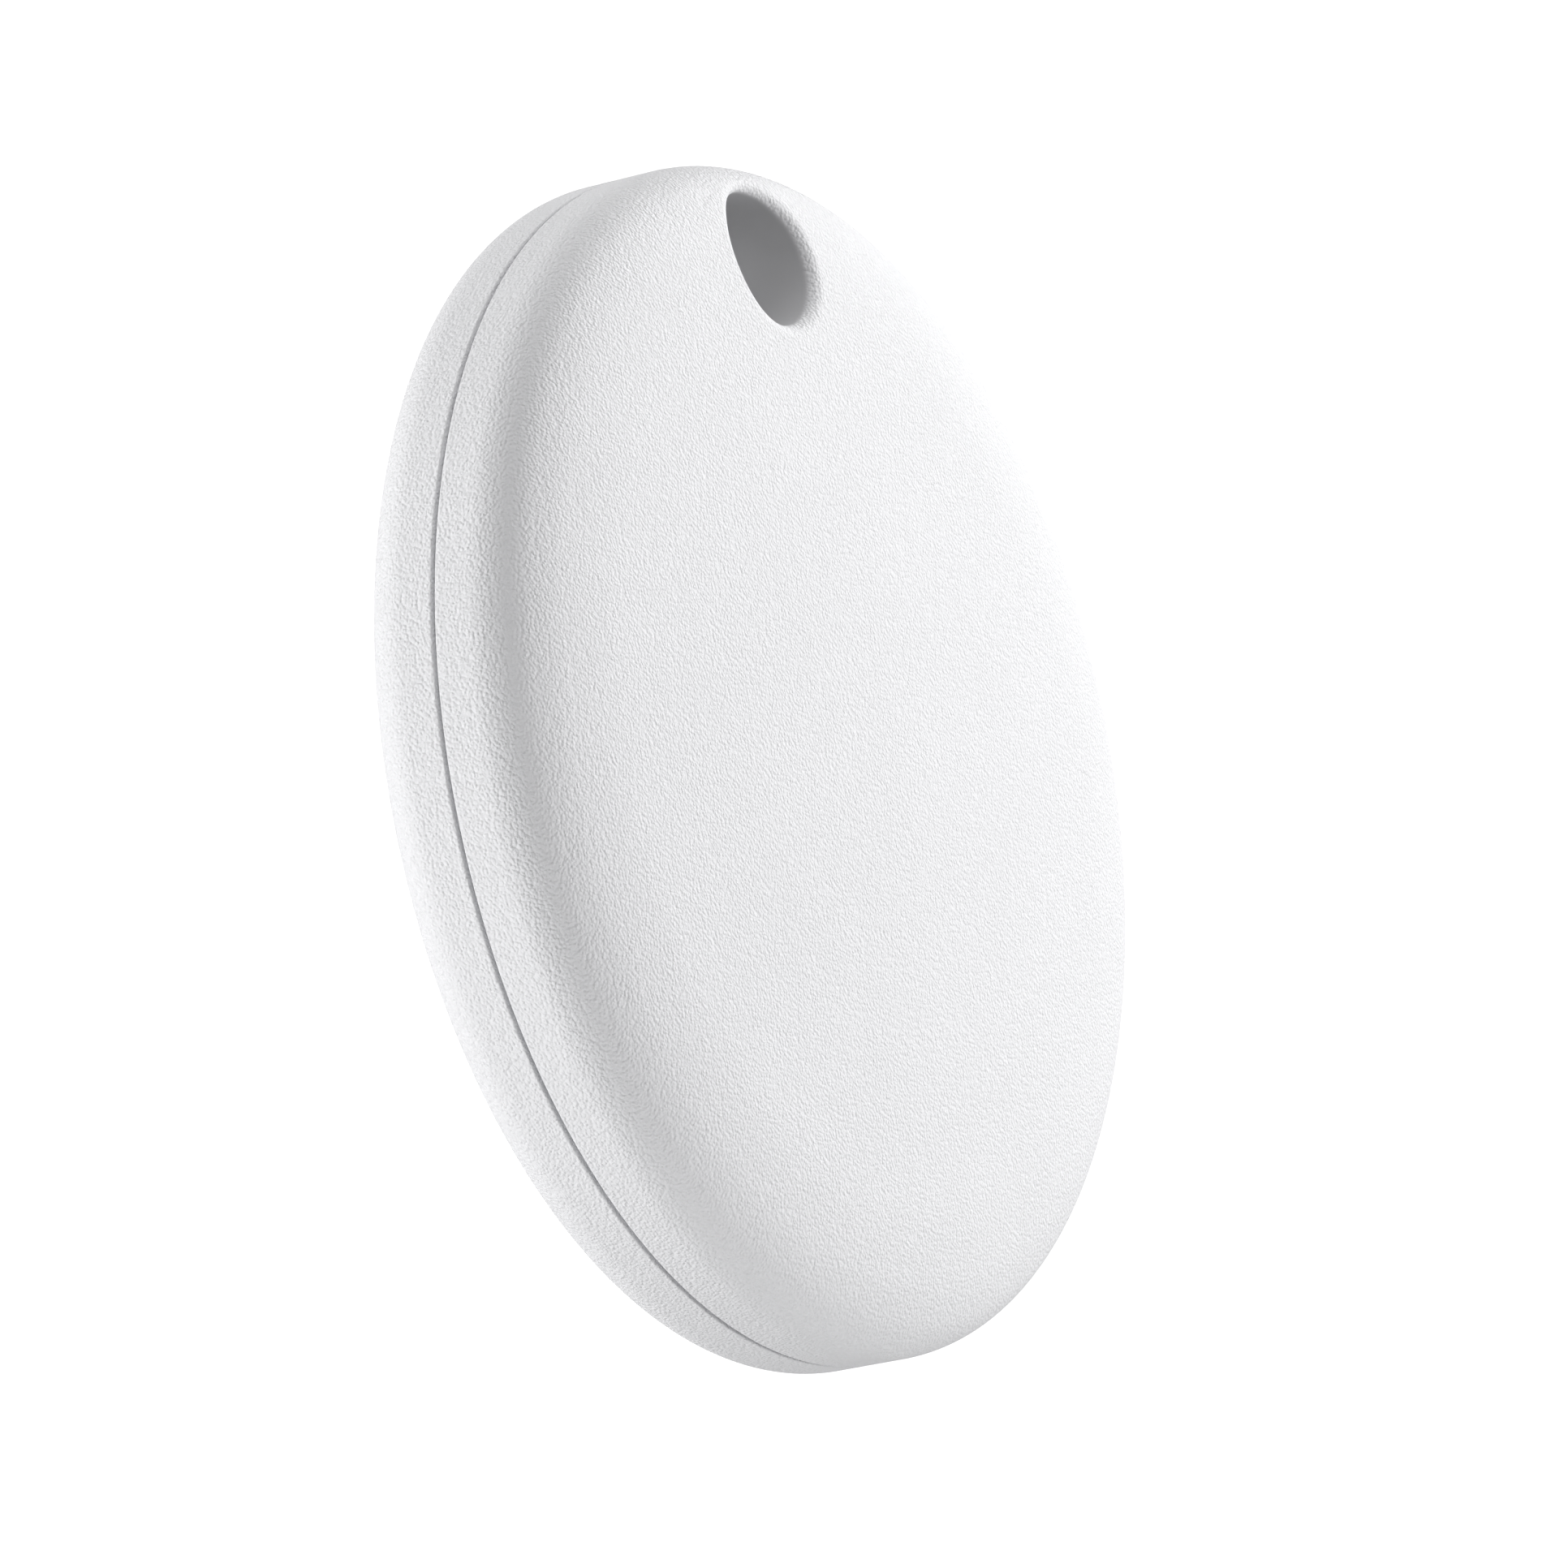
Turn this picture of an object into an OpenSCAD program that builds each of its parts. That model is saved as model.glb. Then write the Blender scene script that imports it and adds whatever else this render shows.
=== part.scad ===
// Round bluetooth tracker tag with a key-ring hole.
// It lies on its back: z = 0 is the flat of the rear cover, +Z points out of the front face,
// and the key-ring hole is at +Y. Millimetres.

/* [Body] */
// Outer diameter of the two covers
body_d = 38; // [37.6:0.1:38.4]
// Height of the front face's middle over the rear flat
body_t = 7.72; // [7.7:0.02:7.8]
// Height of the seam's middle
seam_z = 3.5; // [3.45:0.05:3.55]
// Open gap of the seam between the covers
seam_gap = 0.11; // [0.11:0.01:0.15]
// Thickness of the rim wall of both covers
rim_wall = 1.2; // [1.15:0.05:1.25]

/* [Front surface] */
// Radius of the front rim's rounding
front_round = 1.8; // [1.7:0.05:1.9]
// Radius of the bend between the rounding and the shoulder
bend_r = 5; // [4.8:0.1:5.2]
// Steepness at the bend's outer end, degrees
bend_outer = 28; // [27.5:0.5:28.5]
// Radius of the soft shoulder between the bend and the dome
shoulder_r = 18; // [17:0.5:19]
// Steepness at the shoulder's outer end, degrees
shoulder_outer = 13; // [12.8:0.1:13.2]
// Steepness at the shoulder's inner end, degrees
shoulder_inner = 4.5; // [4.3:0.1:4.7]

/* [Rear surface] */
// Radius of the rear rim's rounding
rear_round = 1.75; // [1.7:0.05:1.8]
// Height of the rear rounding's centre
rear_round_z = 2.34; // [2.3:0.02:2.4]
// Radius of the flat that the tag lies on
foot_r = 8; // [7.5:0.5:8.5]

/* [Key-ring hole] */
// Radius of the hole
hole_r = 2.2; // [2.1:0.05:2.25]
// Distance of the hole's centre from the middle of the tag
hole_y = 15.7; // [15.6:0.1:15.8]
// Radius of the rounded lip at each mouth
hole_lip = 0.5; // [0.4:0.05:0.6]
// Outer radius of the boss round the hole
boss_r = 3.0; // [3.0:0.02:3.04]

/* [Circuit board] */
// Radius of the circuit board
board_r = 16.6; // [16.4:0.1:16.7]
// Height of the circuit board's underside
board_z = 4.6; // [4.6:0.01:4.62]
// Thickness of the circuit board
board_t = 0.6; // [0.58:0.01:0.6]

/* [Snap hooks] */
// Inner radius of the hooks' arms
hook_in = 15.2; // [15.1:0.05:15.25]
// Thickness of the arms
hook_t = 0.8; // [0.7:0.05:0.8]
// Width of the hooks
hook_w = 2.6; // [2.4:0.1:2.8]
// How far the barbs stand out
hook_barb = 0.45; // [0.35:0.05:0.45]

/* [Coin cell] */
// Radius of the CR2032 cell
cell_r = 10; // [9.95:0.01:10]
// Height of the cell's lower face
cell_z = 1.05; // [1.05:0.01:1.06]

/* [Buzzer and switch] */
// Radius of the buzzer's brass plate
plate_r = 7.5; // [7.2:0.1:7.5]
// Radius of the buzzer's ceramic
ceramic_r = 5.5; // [5.2:0.1:5.7]
// Edge length of the switch base
switch_w = 4; // [3.8:0.1:4.2]

/* [Hidden] */
$fn = 96;
cut = 1;                                // how far a cutting shape passes the surface it cuts

body_r = body_d / 2;
front_rim_z = seam_z + seam_gap / 2;
rear_rim_z = seam_z - seam_gap / 2;
wall_in = body_r - rim_wall;
board_top = board_z + board_t;

// Front surface: rim rounding, bend, shoulder and dome are arcs that meet without a corner
dome_edge_r = body_r - front_round + front_round * sin(bend_outer)
    - bend_r * (sin(bend_outer) - sin(shoulder_outer))
    - shoulder_r * (sin(shoulder_outer) - sin(shoulder_inner));
dome_r = dome_edge_r / sin(shoulder_inner);
dome_z = body_t - dome_r;
shoulder_x = dome_edge_r - shoulder_r * sin(shoulder_inner);
shoulder_z = dome_z + (dome_r - shoulder_r) * cos(shoulder_inner);
bend_x = shoulder_x + (shoulder_r - bend_r) * sin(shoulder_outer);
bend_z = shoulder_z + (shoulder_r - bend_r) * cos(shoulder_outer);
front_round_x = body_r - front_round;
front_round_z = bend_z + (bend_r - front_round) * cos(bend_outer);

// Rear surface: an arc joins the flat foot to the rim rounding
rear_round_x = body_r - rear_round;
rear_run = rear_round_x - foot_r;
rear_arc_r = (pow(rear_run, 2) + pow(rear_round_z, 2) - pow(rear_round, 2))
    / (2 * (rear_round_z - rear_round));
rear_slope = asin(rear_run / (rear_arc_r - rear_round));

// Inner surfaces of the covers
ceiling_z = 6.22;                       // flat seat of the buzzer
seat_r = plate_r + 0.2;
floor_z = 1.0;                          // under the cell

// The surface heights and slopes where the hole leaves the covers; the front mouth sits a
// little lower and steeper, since the surface falls away faster towards the rim
mouth_front_z = shoulder_z + sqrt(pow(shoulder_r, 2) - pow(hole_y - shoulder_x, 2)) - 0.02;
mouth_front_slope = asin((hole_y - shoulder_x) / shoulder_r) + 2.5;
mouth_rear_z = rear_arc_r - sqrt(pow(rear_arc_r, 2) - pow(hole_y - foot_r, 2));
mouth_rear_slope = asin((hole_y - foot_r) / rear_arc_r);

// Chassis
chassis_r = wall_in - 0.1;
chassis_in = hook_in + hook_t + 0.1;
chassis_z = 2.5;
collar_in = boss_r + 0.2;
collar_out = collar_in + 1.6;
pocket_in = cell_r + 0.25;
pocket_out = pocket_in + 0.8;
pocket_z = 1.2;
pocket_gap = 0.05;                      // between the pocket's edge and the board
spoke_w = 2.5;
spoke_z = 3.4;
stake_at = 13.8;
stake_r = 0.6;
stake_head_r = 0.95;
stake_head_t = 0.35;
seal_t = 0.63;
seal_z = [2.97, 4.03];
groove_z = [2.95, 4.05];
groove_depth = 0.65;

// Angles round the tag, the key-ring hole being at 90
SPOKES = [60, 120, 195, 270, 345];
REAR_HOOKS = [30, 150, 210, 330];
FRONT_HOOKS = [0, 180, 235, 305];
POSITIVE_AT = [232.5, 307.5];
RIBS = [15, 75, 105, 165, 195, 255, 285, 345];

function arc(x, z, r, from, to, n) =
    [for (i = [0:n]) let (a = from + (to - from) * i / n) [x + r * sin(a), z + r * cos(a)]];

front_outline = concat(
    [[0, front_rim_z], [body_r, front_rim_z]],
    arc(front_round_x, front_round_z, front_round, 90, bend_outer, 10),
    arc(bend_x, bend_z, bend_r, bend_outer - 3, shoulder_outer, 4),
    arc(shoulder_x, shoulder_z, shoulder_r, shoulder_outer - 1.5, shoulder_inner, 5),
    arc(0, dome_z, dome_r, shoulder_inner - 0.5, 0, 8));

rear_outline = concat(
    [[0, 0]],
    arc(foot_r, rear_arc_r, rear_arc_r, 180, 180 - rear_slope, 8),
    arc(rear_round_x, rear_round_z, rear_round, 180 - rear_slope - 8, 90, 11),
    [[body_r, rear_rim_z], [0, rear_rim_z]]);

front_hollow = [[0, front_rim_z - cut], [wall_in, front_rim_z - cut], [wall_in, 4.95],
                [wall_in - 0.2, 5.2], [wall_in - 0.6, 5.37], [16.6, 5.47], [14.8, 5.78],
                [11, 6.08], [seat_r, ceiling_z], [0, ceiling_z]];

rear_hollow = [[0, floor_z], [10.6, floor_z], [14, 1.42], [wall_in - 0.6, 1.8],
               [wall_in - 0.2, 2.05], [wall_in, 2.45], [wall_in, rear_rim_z + cut],
               [0, rear_rim_z + cut]];

// ---- Shared shapes ----

// A profile of [distance from the axis, height] turned into a solid
module turned(points) rotate_extrude($fn = 128) polygon(points);

// A profile of [distance from the axis, height] made a plate of one width, at an angle
module plate_at(angle, points, width)
    rotate(angle) rotate([90, 0, 0]) linear_extrude(width, center = true) polygon(points);

// A block at a distance and an angle, between two heights
module block_at(angle, dist, size, z)
    rotate(angle) translate([dist - size.x / 2, -size.y / 2, min(z)])
        cube([size.x, size.y, max(z) - min(z)]);

module at_hole() translate([0, hole_y, 0]) children();

module post(r, z) translate([0, 0, z[0]]) cylinder(r = r, h = z[1] - z[0]);

// A disc that stays clear of the key-ring hole
module c_disc(r, clear_r, z) difference() {
    post(r, z);
    at_hole() post(clear_r, [z[0] - cut, z[1] + cut]);
}

// A wall of even height that follows the rim and goes round the key-ring hole's boss
module c_wall(r_out, r_in, hole_in, hole_out, z) difference() {
    c_disc(r_out, hole_in, z);
    c_disc(r_in, hole_out, [z[0] - cut / 2, z[1] + cut / 2]);
}

// Cutter for the rounded mouth of the hole, its top face level with the surface
module mouth() rotate_extrude($fn = 64) polygon(concat(
    [[0, -hole_lip - 0.2], [hole_r - 0.1, -hole_lip - 0.2], [hole_r - 0.1, -hole_lip]],
    [for (i = [0:6]) let (a = i * 15)
        [hole_r + hole_lip * (1 - cos(a)), -hole_lip + hole_lip * sin(a)]],
    [[hole_r + hole_lip, cut], [0, cut]]));

module hole_cutter() {
    at_hole() post(hole_r, [-cut, body_t + cut]);
    at_hole() translate([0, 0, mouth_front_z]) rotate([-mouth_front_slope, 0, 0]) mouth();
    at_hole() translate([0, 0, mouth_rear_z]) rotate([mouth_rear_slope, 0, 0])
        mirror([0, 0, 1]) mouth();
}

// ---- Covers ----

module front_cover() color("white") {
    difference() {
        turned(front_outline);
        difference() {
            turned(front_hollow);
            at_hole() post(boss_r, [front_rim_z - 2 * cut, body_t]);
        }
        hole_cutter();
    }
    for (a = FRONT_HOOKS) front_hook(a);
    piezo_fence();
}

module front_hook(angle) plate_at(angle, [
    [hook_in, 5.85], [hook_in + hook_t, 5.75], [hook_in + hook_t, 3.5],
    [hook_in + hook_t + hook_barb, 3.5], [hook_in + hook_t + hook_barb, 3.35],
    [hook_in + hook_t + 0.1, 2.9], [hook_in, 2.9]], hook_w);

// Low ring that centres the buzzer
module piezo_fence() difference() {
    post(seat_r + 0.65, [5.95, 6.3]);
    post(seat_r + 0.05, [5.95 - cut, 6.3 + cut]);
}

module rear_cover() color("white") {
    difference() {
        turned(rear_outline);
        difference() {
            turned(rear_hollow);
            at_hole() post(boss_r, [0, rear_rim_z + 2 * cut]);
        }
        hole_cutter();
        pry_notch();
    }
    for (a = REAR_HOOKS) rear_hook(a);
    for (a = RIBS) block_at(a, 13.6, [2.2, 0.6], [1.0, 1.95]);
}

module rear_hook(angle) plate_at(angle, [
    [hook_in, 1.2], [hook_in + hook_t, 1.2], [hook_in + hook_t, 3.3],
    [hook_in + hook_t + hook_barb, 3.3], [hook_in + hook_t + hook_barb, 3.45],
    [hook_in + hook_t + 0.1, 3.9], [hook_in, 3.9]], hook_w);

// Slot for a coin or a fingernail in the rear cover's edge
module pry_notch() block_at(0, body_r + 0.4, [2, 6], [rear_rim_z - 0.6, rear_rim_z + cut]);

// ---- Chassis and seal ----

module chassis() color("dimgray") {
    difference() {
        union() {
            c_wall(chassis_r, chassis_in, collar_in, collar_out, [chassis_z, board_z]);
            pocket();
            for (a = SPOKES)
                block_at(a, (pocket_out + chassis_in) / 2,
                         [chassis_in - pocket_out + 0.6, spoke_w], [spoke_z, board_z]);
        }
        c_wall(chassis_r + cut, chassis_r + 0.1 - groove_depth, boss_r - cut,
               collar_in - 0.18 + groove_depth, groove_z);
        for (a = REAR_HOOKS)
            block_at(a, chassis_in, [0.9, hook_w + 0.4], [3.2, 4.0]);
        for (a = FRONT_HOOKS)
            block_at(a, chassis_in, [0.9, hook_w + 0.4], [2.75, 3.6]);
    }
    for (a = SPOKES) rotate(a) translate([stake_at, 0, 0]) stake();
}

module pocket() difference() {
    post(pocket_out, [pocket_z, board_z - pocket_gap]);
    post(pocket_in, [pocket_z - cut, board_z + cut]);
    at_hole() post(collar_in, [pocket_z - cut, board_z + cut]);
    for (a = POSITIVE_AT) block_at(a, pocket_in, [3, 3.1], [pocket_z - cut, 3.8]);
}

module stake() {
    post(stake_r, [board_z - 0.3, board_top]);
    translate([0, 0, board_top])
        cylinder(r1 = stake_head_r, r2 = stake_r, h = stake_head_t);
}

module seal_ring() color("gray")
    c_wall(wall_in - 0.02, wall_in - 0.02 - seal_t, boss_r + 0.02, boss_r + 0.02 + seal_t,
           seal_z);

// ---- Circuit board and what is on it ----

module circuit_board() color("darkgreen") difference() {
    c_disc(board_r, boss_r + 0.35, [board_z, board_top]);
    for (a = FRONT_HOOKS)
        block_at(a, board_r, [2 * (board_r - hook_in + 0.15), hook_w + 0.4],
                 [board_z - cut, board_top + cut]);
    for (a = SPOKES) rotate(a) translate([stake_at, 0, 0])
        post(stake_r + 0.05, [board_z - cut, board_top + cut]);
}

// A part soldered to the underside
module under(angle, dist, size) block_at(angle, dist, size, [board_z - size.z, board_z]);

// A part soldered to the top
module over(angle, dist, size) block_at(angle, dist, size, [board_top, board_top + size.z]);

CHIP_SIZE = [4, 4, 0.75];
CHIP_AT = [15, 13.3];
CAP_SIZE = [1.0, 0.5, 0.5];
RES_SIZE = [1.0, 0.5, 0.35];

module bluetooth_chip() color("black") under(CHIP_AT[0], CHIP_AT[1], CHIP_SIZE);

module main_crystal() color("silver") under(42, 13.2, [2.5, 2.0, 0.6]);

module timing_crystal() color("silver") under(133, 13.2, [3.2, 1.5, 0.8]);

module inductor() color("dimgray") under(165, 13.2, [3, 3, 1.0]);

module reserve_capacitor() color("peru") under(180, 13.3, [3.2, 1.6, 1.2]);

module buzzer_driver() color("black") {
    under(148, 13.2, [1.3, 2.4, 0.9]);
}

module capacitors() color("peru") {
    for (p = [[29, 12.1], [29, 13.6], [1, 12.1], [1, 13.6], [51, 12.3], [51, 13.9]])
        under(p[0], p[1], CAP_SIZE);
    for (p = [[250, 12.4], [256, 12.4], [284, 12.4], [20, 10.4], [28, 10.4], [152, 10.4]])
        over(p[0], p[1], CAP_SIZE);
}

module resistors() color("black") {
    for (p = [[355, 12.1], [355, 13.6], [141, 14.2]]) under(p[0], p[1], RES_SIZE);
    for (p = [[290, 12.4], [36, 10.4], [144, 10.4], [160, 10.4]]) over(p[0], p[1], RES_SIZE);
}

TEST_PADS = [[209, 12.6], [216, 12.6], [223, 13.9], [317, 13.9], [324, 12.6], [331, 12.6]];

module test_pads() color("gold")
    for (p = TEST_PADS) rotate(p[0]) translate([p[1], 0, 0])
        post(0.5, [board_z - 0.04, board_z]);

ANTENNA_FINGERS = 14;
antenna_step = 3.6;                     // degrees between fingers
antenna_first = 270 - antenna_step * (ANTENNA_FINGERS - 1) / 2;
antenna_r = [14.95, 16.15];
track_w = 0.35;
track_t = 0.05;

// Meandering track: radial fingers joined in turn at their outer and inner ends
module antenna() color("goldenrod") {
    for (i = [0:ANTENNA_FINGERS - 1])
        over(antenna_first + i * antenna_step, (antenna_r[0] + antenna_r[1]) / 2,
             [antenna_r[1] - antenna_r[0] + track_w, track_w, track_t]);
    for (i = [0:ANTENNA_FINGERS - 2])
        over(antenna_first + (i + 0.5) * antenna_step, antenna_r[i % 2],
             [track_w, antenna_r[i % 2] * sin(antenna_step), track_t]);
    over(antenna_first, 13.9, [2.2, track_w, track_t]);
}

// ---- Cell contacts ----

module positive_contacts() color("gold")
    for (a = POSITIVE_AT) plate_at(a, [
        [13.6, board_z], [11.65, board_z], [11.65, 1.95], [10.17, 2.75], [10.17, 3.15],
        [10.45, 3.5], [10.35, 3.58], [10.02, 3.2], [10.02, 2.66], [11.68, 1.75],
        [11.8, 1.85], [11.8, board_z - 0.15], [13.6, board_z - 0.15]], 2.5);

module negative_contact() color("gold") {
    post(2.4, [board_z - 0.12, board_z]);
    for (a = [90, 210, 330]) plate_at(a, [
        [1, board_z], [1, board_z - 0.12], [2.2, board_z - 0.12], [5.6, 4.27],
        [6.0, 4.27], [6.0, 4.36], [5.65, 4.37], [2.3, board_z]], 1.8);
}

// ---- Switch ----

switch_base_top = board_top + 0.18;

module switch_base() color("black") over(0, 0, [switch_w, switch_w, 0.18]);

module switch_dome() color("silver") turned([
    [1.75, switch_base_top], [1.45, 5.58], [0.9, 5.67], [0, 5.70],
    [0, 5.64], [0.88, 5.61], [1.38, 5.53], [1.66, switch_base_top]]);

module switch_film() color("khaki") difference() {
    block_at(0, 0, [switch_w - 0.2, switch_w - 0.2],
             [switch_base_top, switch_base_top + 0.06]);
    post(1.8, [board_top, board_top + cut]);
}

module actuator_pad() color("white") post(1.2, [5.72, 5.87]);

// ---- Buzzer ----

module piezo_ceramic() color("lightgray") post(ceramic_r, [5.87, 6.0]);

module piezo_plate() color("gold") post(plate_r, [6.0, 6.12]);

module piezo_adhesive() color("dimgray") difference() {
    post(plate_r, [6.12, ceiling_z]);
    post(plate_r - 1.1, [6.12 - cut, ceiling_z + cut]);
}

module plate_spring() color("gold") plate_at(0, [
    [5.9, board_top], [8.6, board_top], [8.7, 5.3], [6.9, 5.99], [6.5, 5.99],
    [6.5, 5.91], [6.8, 5.9], [8.2, 5.3], [5.9, 5.3]], 1.2);

module ceramic_spring() color("gold") plate_at(180, [
    [2.6, board_top], [4.6, board_top], [4.7, 5.3], [3.0, 5.86], [2.7, 5.86],
    [2.7, 5.78], [2.95, 5.77], [4.3, 5.3], [2.6, 5.3]], 1.2);

// ---- Coin cell, each part a turned profile over the cell's lower face ----

module in_cell() translate([0, 0, cell_z]) children();

module cell_can() color("silver") in_cell() turned([
    [0, 0], [cell_r - 0.15, 0], [cell_r, 0.15], [cell_r, 2.7], [9.75, 2.97], [9.2, 3.05],
    [9.15, 2.9], [9.65, 2.8], [9.75, 2.65], [9.75, 0.25], [0, 0.25]]);

module cell_gasket() color("ivory") in_cell() turned([
    [9.3, 0.3], [9.73, 0.3], [9.73, 2.63], [9.62, 2.75], [9.13, 2.85], [9.05, 2.85],
    [9.05, 2.67], [9.3, 2.57]]);

module cell_cap() color("silver") in_cell() turned([
    [0, 3.2], [8.75, 3.2], [8.97, 3.0], [8.97, 2.57], [9.26, 2.45], [9.26, 0.45],
    [9.06, 0.45], [9.06, 2.3], [8.77, 2.43], [8.77, 2.9], [8.65, 3.0], [0, 3.0]]);

module cell_core() color("darkgray") in_cell() turned([
    [0, 0.27], [9.0, 0.27], [9.0, 2.25], [8.72, 2.39], [8.72, 2.85], [8.6, 2.98], [0, 2.98]]);

front_cover();
rear_cover();
chassis();
seal_ring();
circuit_board();
bluetooth_chip();
main_crystal();
timing_crystal();
antenna();
capacitors();
resistors();
inductor();
reserve_capacitor();
buzzer_driver();
test_pads();
negative_contact();
positive_contacts();
switch_base();
switch_dome();
switch_film();
plate_spring();
ceramic_spring();
actuator_pad();
piezo_ceramic();
piezo_plate();
piezo_adhesive();
cell_can();
cell_gasket();
cell_cap();
cell_core();
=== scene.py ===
"""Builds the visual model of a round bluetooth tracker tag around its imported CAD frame."""

import math

import bmesh
import bpy
from bpy.props import FloatProperty, FloatVectorProperty, IntProperty, PointerProperty
from mathutils import Matrix, Vector


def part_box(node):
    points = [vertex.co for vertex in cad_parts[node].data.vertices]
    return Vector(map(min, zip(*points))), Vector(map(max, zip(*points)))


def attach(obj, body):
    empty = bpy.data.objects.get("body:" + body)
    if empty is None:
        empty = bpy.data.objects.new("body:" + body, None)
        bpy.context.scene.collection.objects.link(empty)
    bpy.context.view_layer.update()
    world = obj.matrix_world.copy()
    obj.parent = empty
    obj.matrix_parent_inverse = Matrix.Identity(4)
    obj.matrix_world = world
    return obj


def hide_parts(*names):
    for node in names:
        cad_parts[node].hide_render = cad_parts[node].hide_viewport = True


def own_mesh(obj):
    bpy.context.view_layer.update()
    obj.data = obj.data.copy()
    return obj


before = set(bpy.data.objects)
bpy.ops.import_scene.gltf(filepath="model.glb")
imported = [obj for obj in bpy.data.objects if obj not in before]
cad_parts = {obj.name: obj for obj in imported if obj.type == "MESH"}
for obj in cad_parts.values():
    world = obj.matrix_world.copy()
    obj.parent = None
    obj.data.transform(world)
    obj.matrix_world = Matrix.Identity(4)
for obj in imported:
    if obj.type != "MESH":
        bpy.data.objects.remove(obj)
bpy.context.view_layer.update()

bl_info = {
    "name": "Bluetooth tracker tag",
    "version": (1, 0, 0),
    "blender": (4, 5, 0),
    "location": "View3D > Sidebar > Tracker tag",
    "description": "Builds the covers, the inside parts and the stage of a round tracker tag",
    "category": "Object",
}

MM = 0.001

# Degrees round the tag, the key-ring hole being at 90
FRONT_HOOKS = (0, 180, 235, 305)
REAR_HOOKS = (30, 150, 210, 330)
SPOKES = (60, 120, 195, 270, 345)
CONTACTS_AT = (232.5, 307.5)
RIBS = (15, 75, 105, 165, 195, 255, 285, 345)

# Millimetres
SEAM, SEAM_GAP = 3.5, 0.11              # height of the seam's middle, and its width
HOOK_IN, HOOK_OUT, BARB = 15.2, 16.0, 0.45
BOARD_RADIUS = 16.6
STAKES_AT = 13.8                        # distance of the heat stakes from the middle
COLLAR_GAP = 0.2                        # between the chassis's collar and the boss
SEAL_DEPTH = 0.65                       # how far the seal reaches in from the rim's wall
VIA_RINGS = (16.1, 7.2)                 # radii of the two rings of stitching vias
BORE_ROWS, LIP_ROWS, ROUND_ROWS, EDGE_ROWS = 8, 12, 10, 4
FACE_ROWS, RIM_ROWS = 64, 18            # rows of the skin's grid, over the face and at the rim
GRID_MARGIN = 0.1                       # from the lip to the grid's innermost circle
GRID_EDGE = 0.25                        # from the grid's outermost circle to the rim


# ---- Settings ----

def length(name, description, mm):
    return FloatProperty(name=name, description=description, default=mm * MM,
                         unit="LENGTH", subtype="DISTANCE", precision=5)


def turn(name, description, degrees):
    return FloatProperty(name=name, description=description, default=math.radians(degrees),
                         unit="ROTATION", subtype="ANGLE")


def colour(name, description, rgb):
    return FloatVectorProperty(name=name, description=description, default=rgb,
                               subtype="COLOR", size=3, min=0.0, max=1.0)


class TagShell(bpy.types.PropertyGroup):
    """Sizes and finish of the two covers."""

    front_round: length("Front rounding", "Radius of the front rim's rounding", 1.8)
    bend: length("Bend", "Radius of the bend between the rounding and the shoulder", 5.0)
    bend_outer: turn("Bend outer slope", "Slope where the rounding meets the bend", 28.0)
    shoulder: length("Shoulder", "Radius of the soft shoulder of the front dome", 18.0)
    shoulder_outer: turn("Shoulder outer slope", "Slope where the bend meets it", 13.0)
    shoulder_inner: turn("Shoulder inner slope", "Slope where the dome meets it", 4.5)
    rear_round: length("Rear rounding", "Radius of the rear rim's rounding", 1.75)
    rear_round_z: length("Rear rounding height", "Height of the rear rounding's centre", 2.34)
    foot: length("Foot", "Radius of the flat that the tag lies on", 8.0)
    hole: length("Key-ring hole", "Radius of the key-ring hole", 2.2)
    hole_at: length("Hole distance", "Distance of the hole from the middle", 15.7)
    lip: length("Hole lip", "Radius of the rounded lip of the hole", 0.5)
    boss: length("Boss", "Outer radius of the boss round the hole", 3.0)
    wall: length("Rim wall", "Thickness of the rim wall", 1.2)
    edge: length("Seam edge", "Radius of the broken edge at the seam", 0.06)
    steps: IntProperty(name="Steps round", description="Points round each ring of the skin",
                       default=320, min=64, max=640)
    plastic: colour("Plastic", "Colour of the covers", (0.835, 0.835, 0.85))
    # Painted shade: this darker colour on the hole's wall stands in for the shade inside the
    # key-ring hole.
    bore_painted_shade: colour("Bore", "Colour of the hole's wall", (0.53, 0.53, 0.54))
    grain: length("Grain", "Size of the moulded grain's cells", 0.11)
    grain_depth: length("Grain depth", "Depth of the moulded grain", 0.042)


class TagInside(bpy.types.PropertyGroup):
    """Colours and edges of the inside parts."""

    break_edge: length("Broken edge", "Width of the rounded edges of moulded parts", 0.08)
    hook_width: length("Hook width", "Width of the snap hooks", 2.6)
    chassis: colour("Chassis", "Colour of the chassis", (0.028, 0.029, 0.032))
    seal: colour("Seal", "Colour of the silicone seal", (0.30, 0.31, 0.33))
    mask: colour("Solder mask", "Colour of the board's solder mask", (0.008, 0.075, 0.036))
    laminate: colour("Laminate", "Colour of the board's cut edge", (0.42, 0.36, 0.17))
    gold: colour("Gold", "Colour of plated copper", (0.80, 0.56, 0.22))
    tin: colour("Tin", "Colour of tinned ends and solder", (0.62, 0.62, 0.61))
    steel: colour("Steel", "Colour of the nickel-plated cell", (0.56, 0.56, 0.57))


class TagStage(bpy.types.PropertyGroup):
    """Camera, lamps and floor."""

    azimuth: turn("View azimuth", "Direction of the camera round the tag", 275.04)
    elevation: turn("View elevation", "Height of the camera over the tag's plane", 29.2)
    roll: turn("View roll", "Turn of the camera about its own axis", 78.08)
    distance: length("View distance", "From the camera to the middle of the seam", 340.67)
    offset_x: length("Sideways offset", "How far the camera stands to its right", 0.652)
    offset_y: length("Upward offset", "How far the camera stands upwards", -0.49)
    lens: FloatProperty(name="Lens", description="Focal length in millimetres", default=249.3)
    drop: length("Floor drop", "How far the floor lies under the tag", 450.0)
    ambient: FloatProperty(name="Ambient", description="Strength of the sky's light",
                           default=0.306)


# ---- Mesh helpers ----

def new_object(name, data):
    made = bpy.data.objects.new(name, data)
    bpy.context.scene.collection.objects.link(made)
    return made


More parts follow.
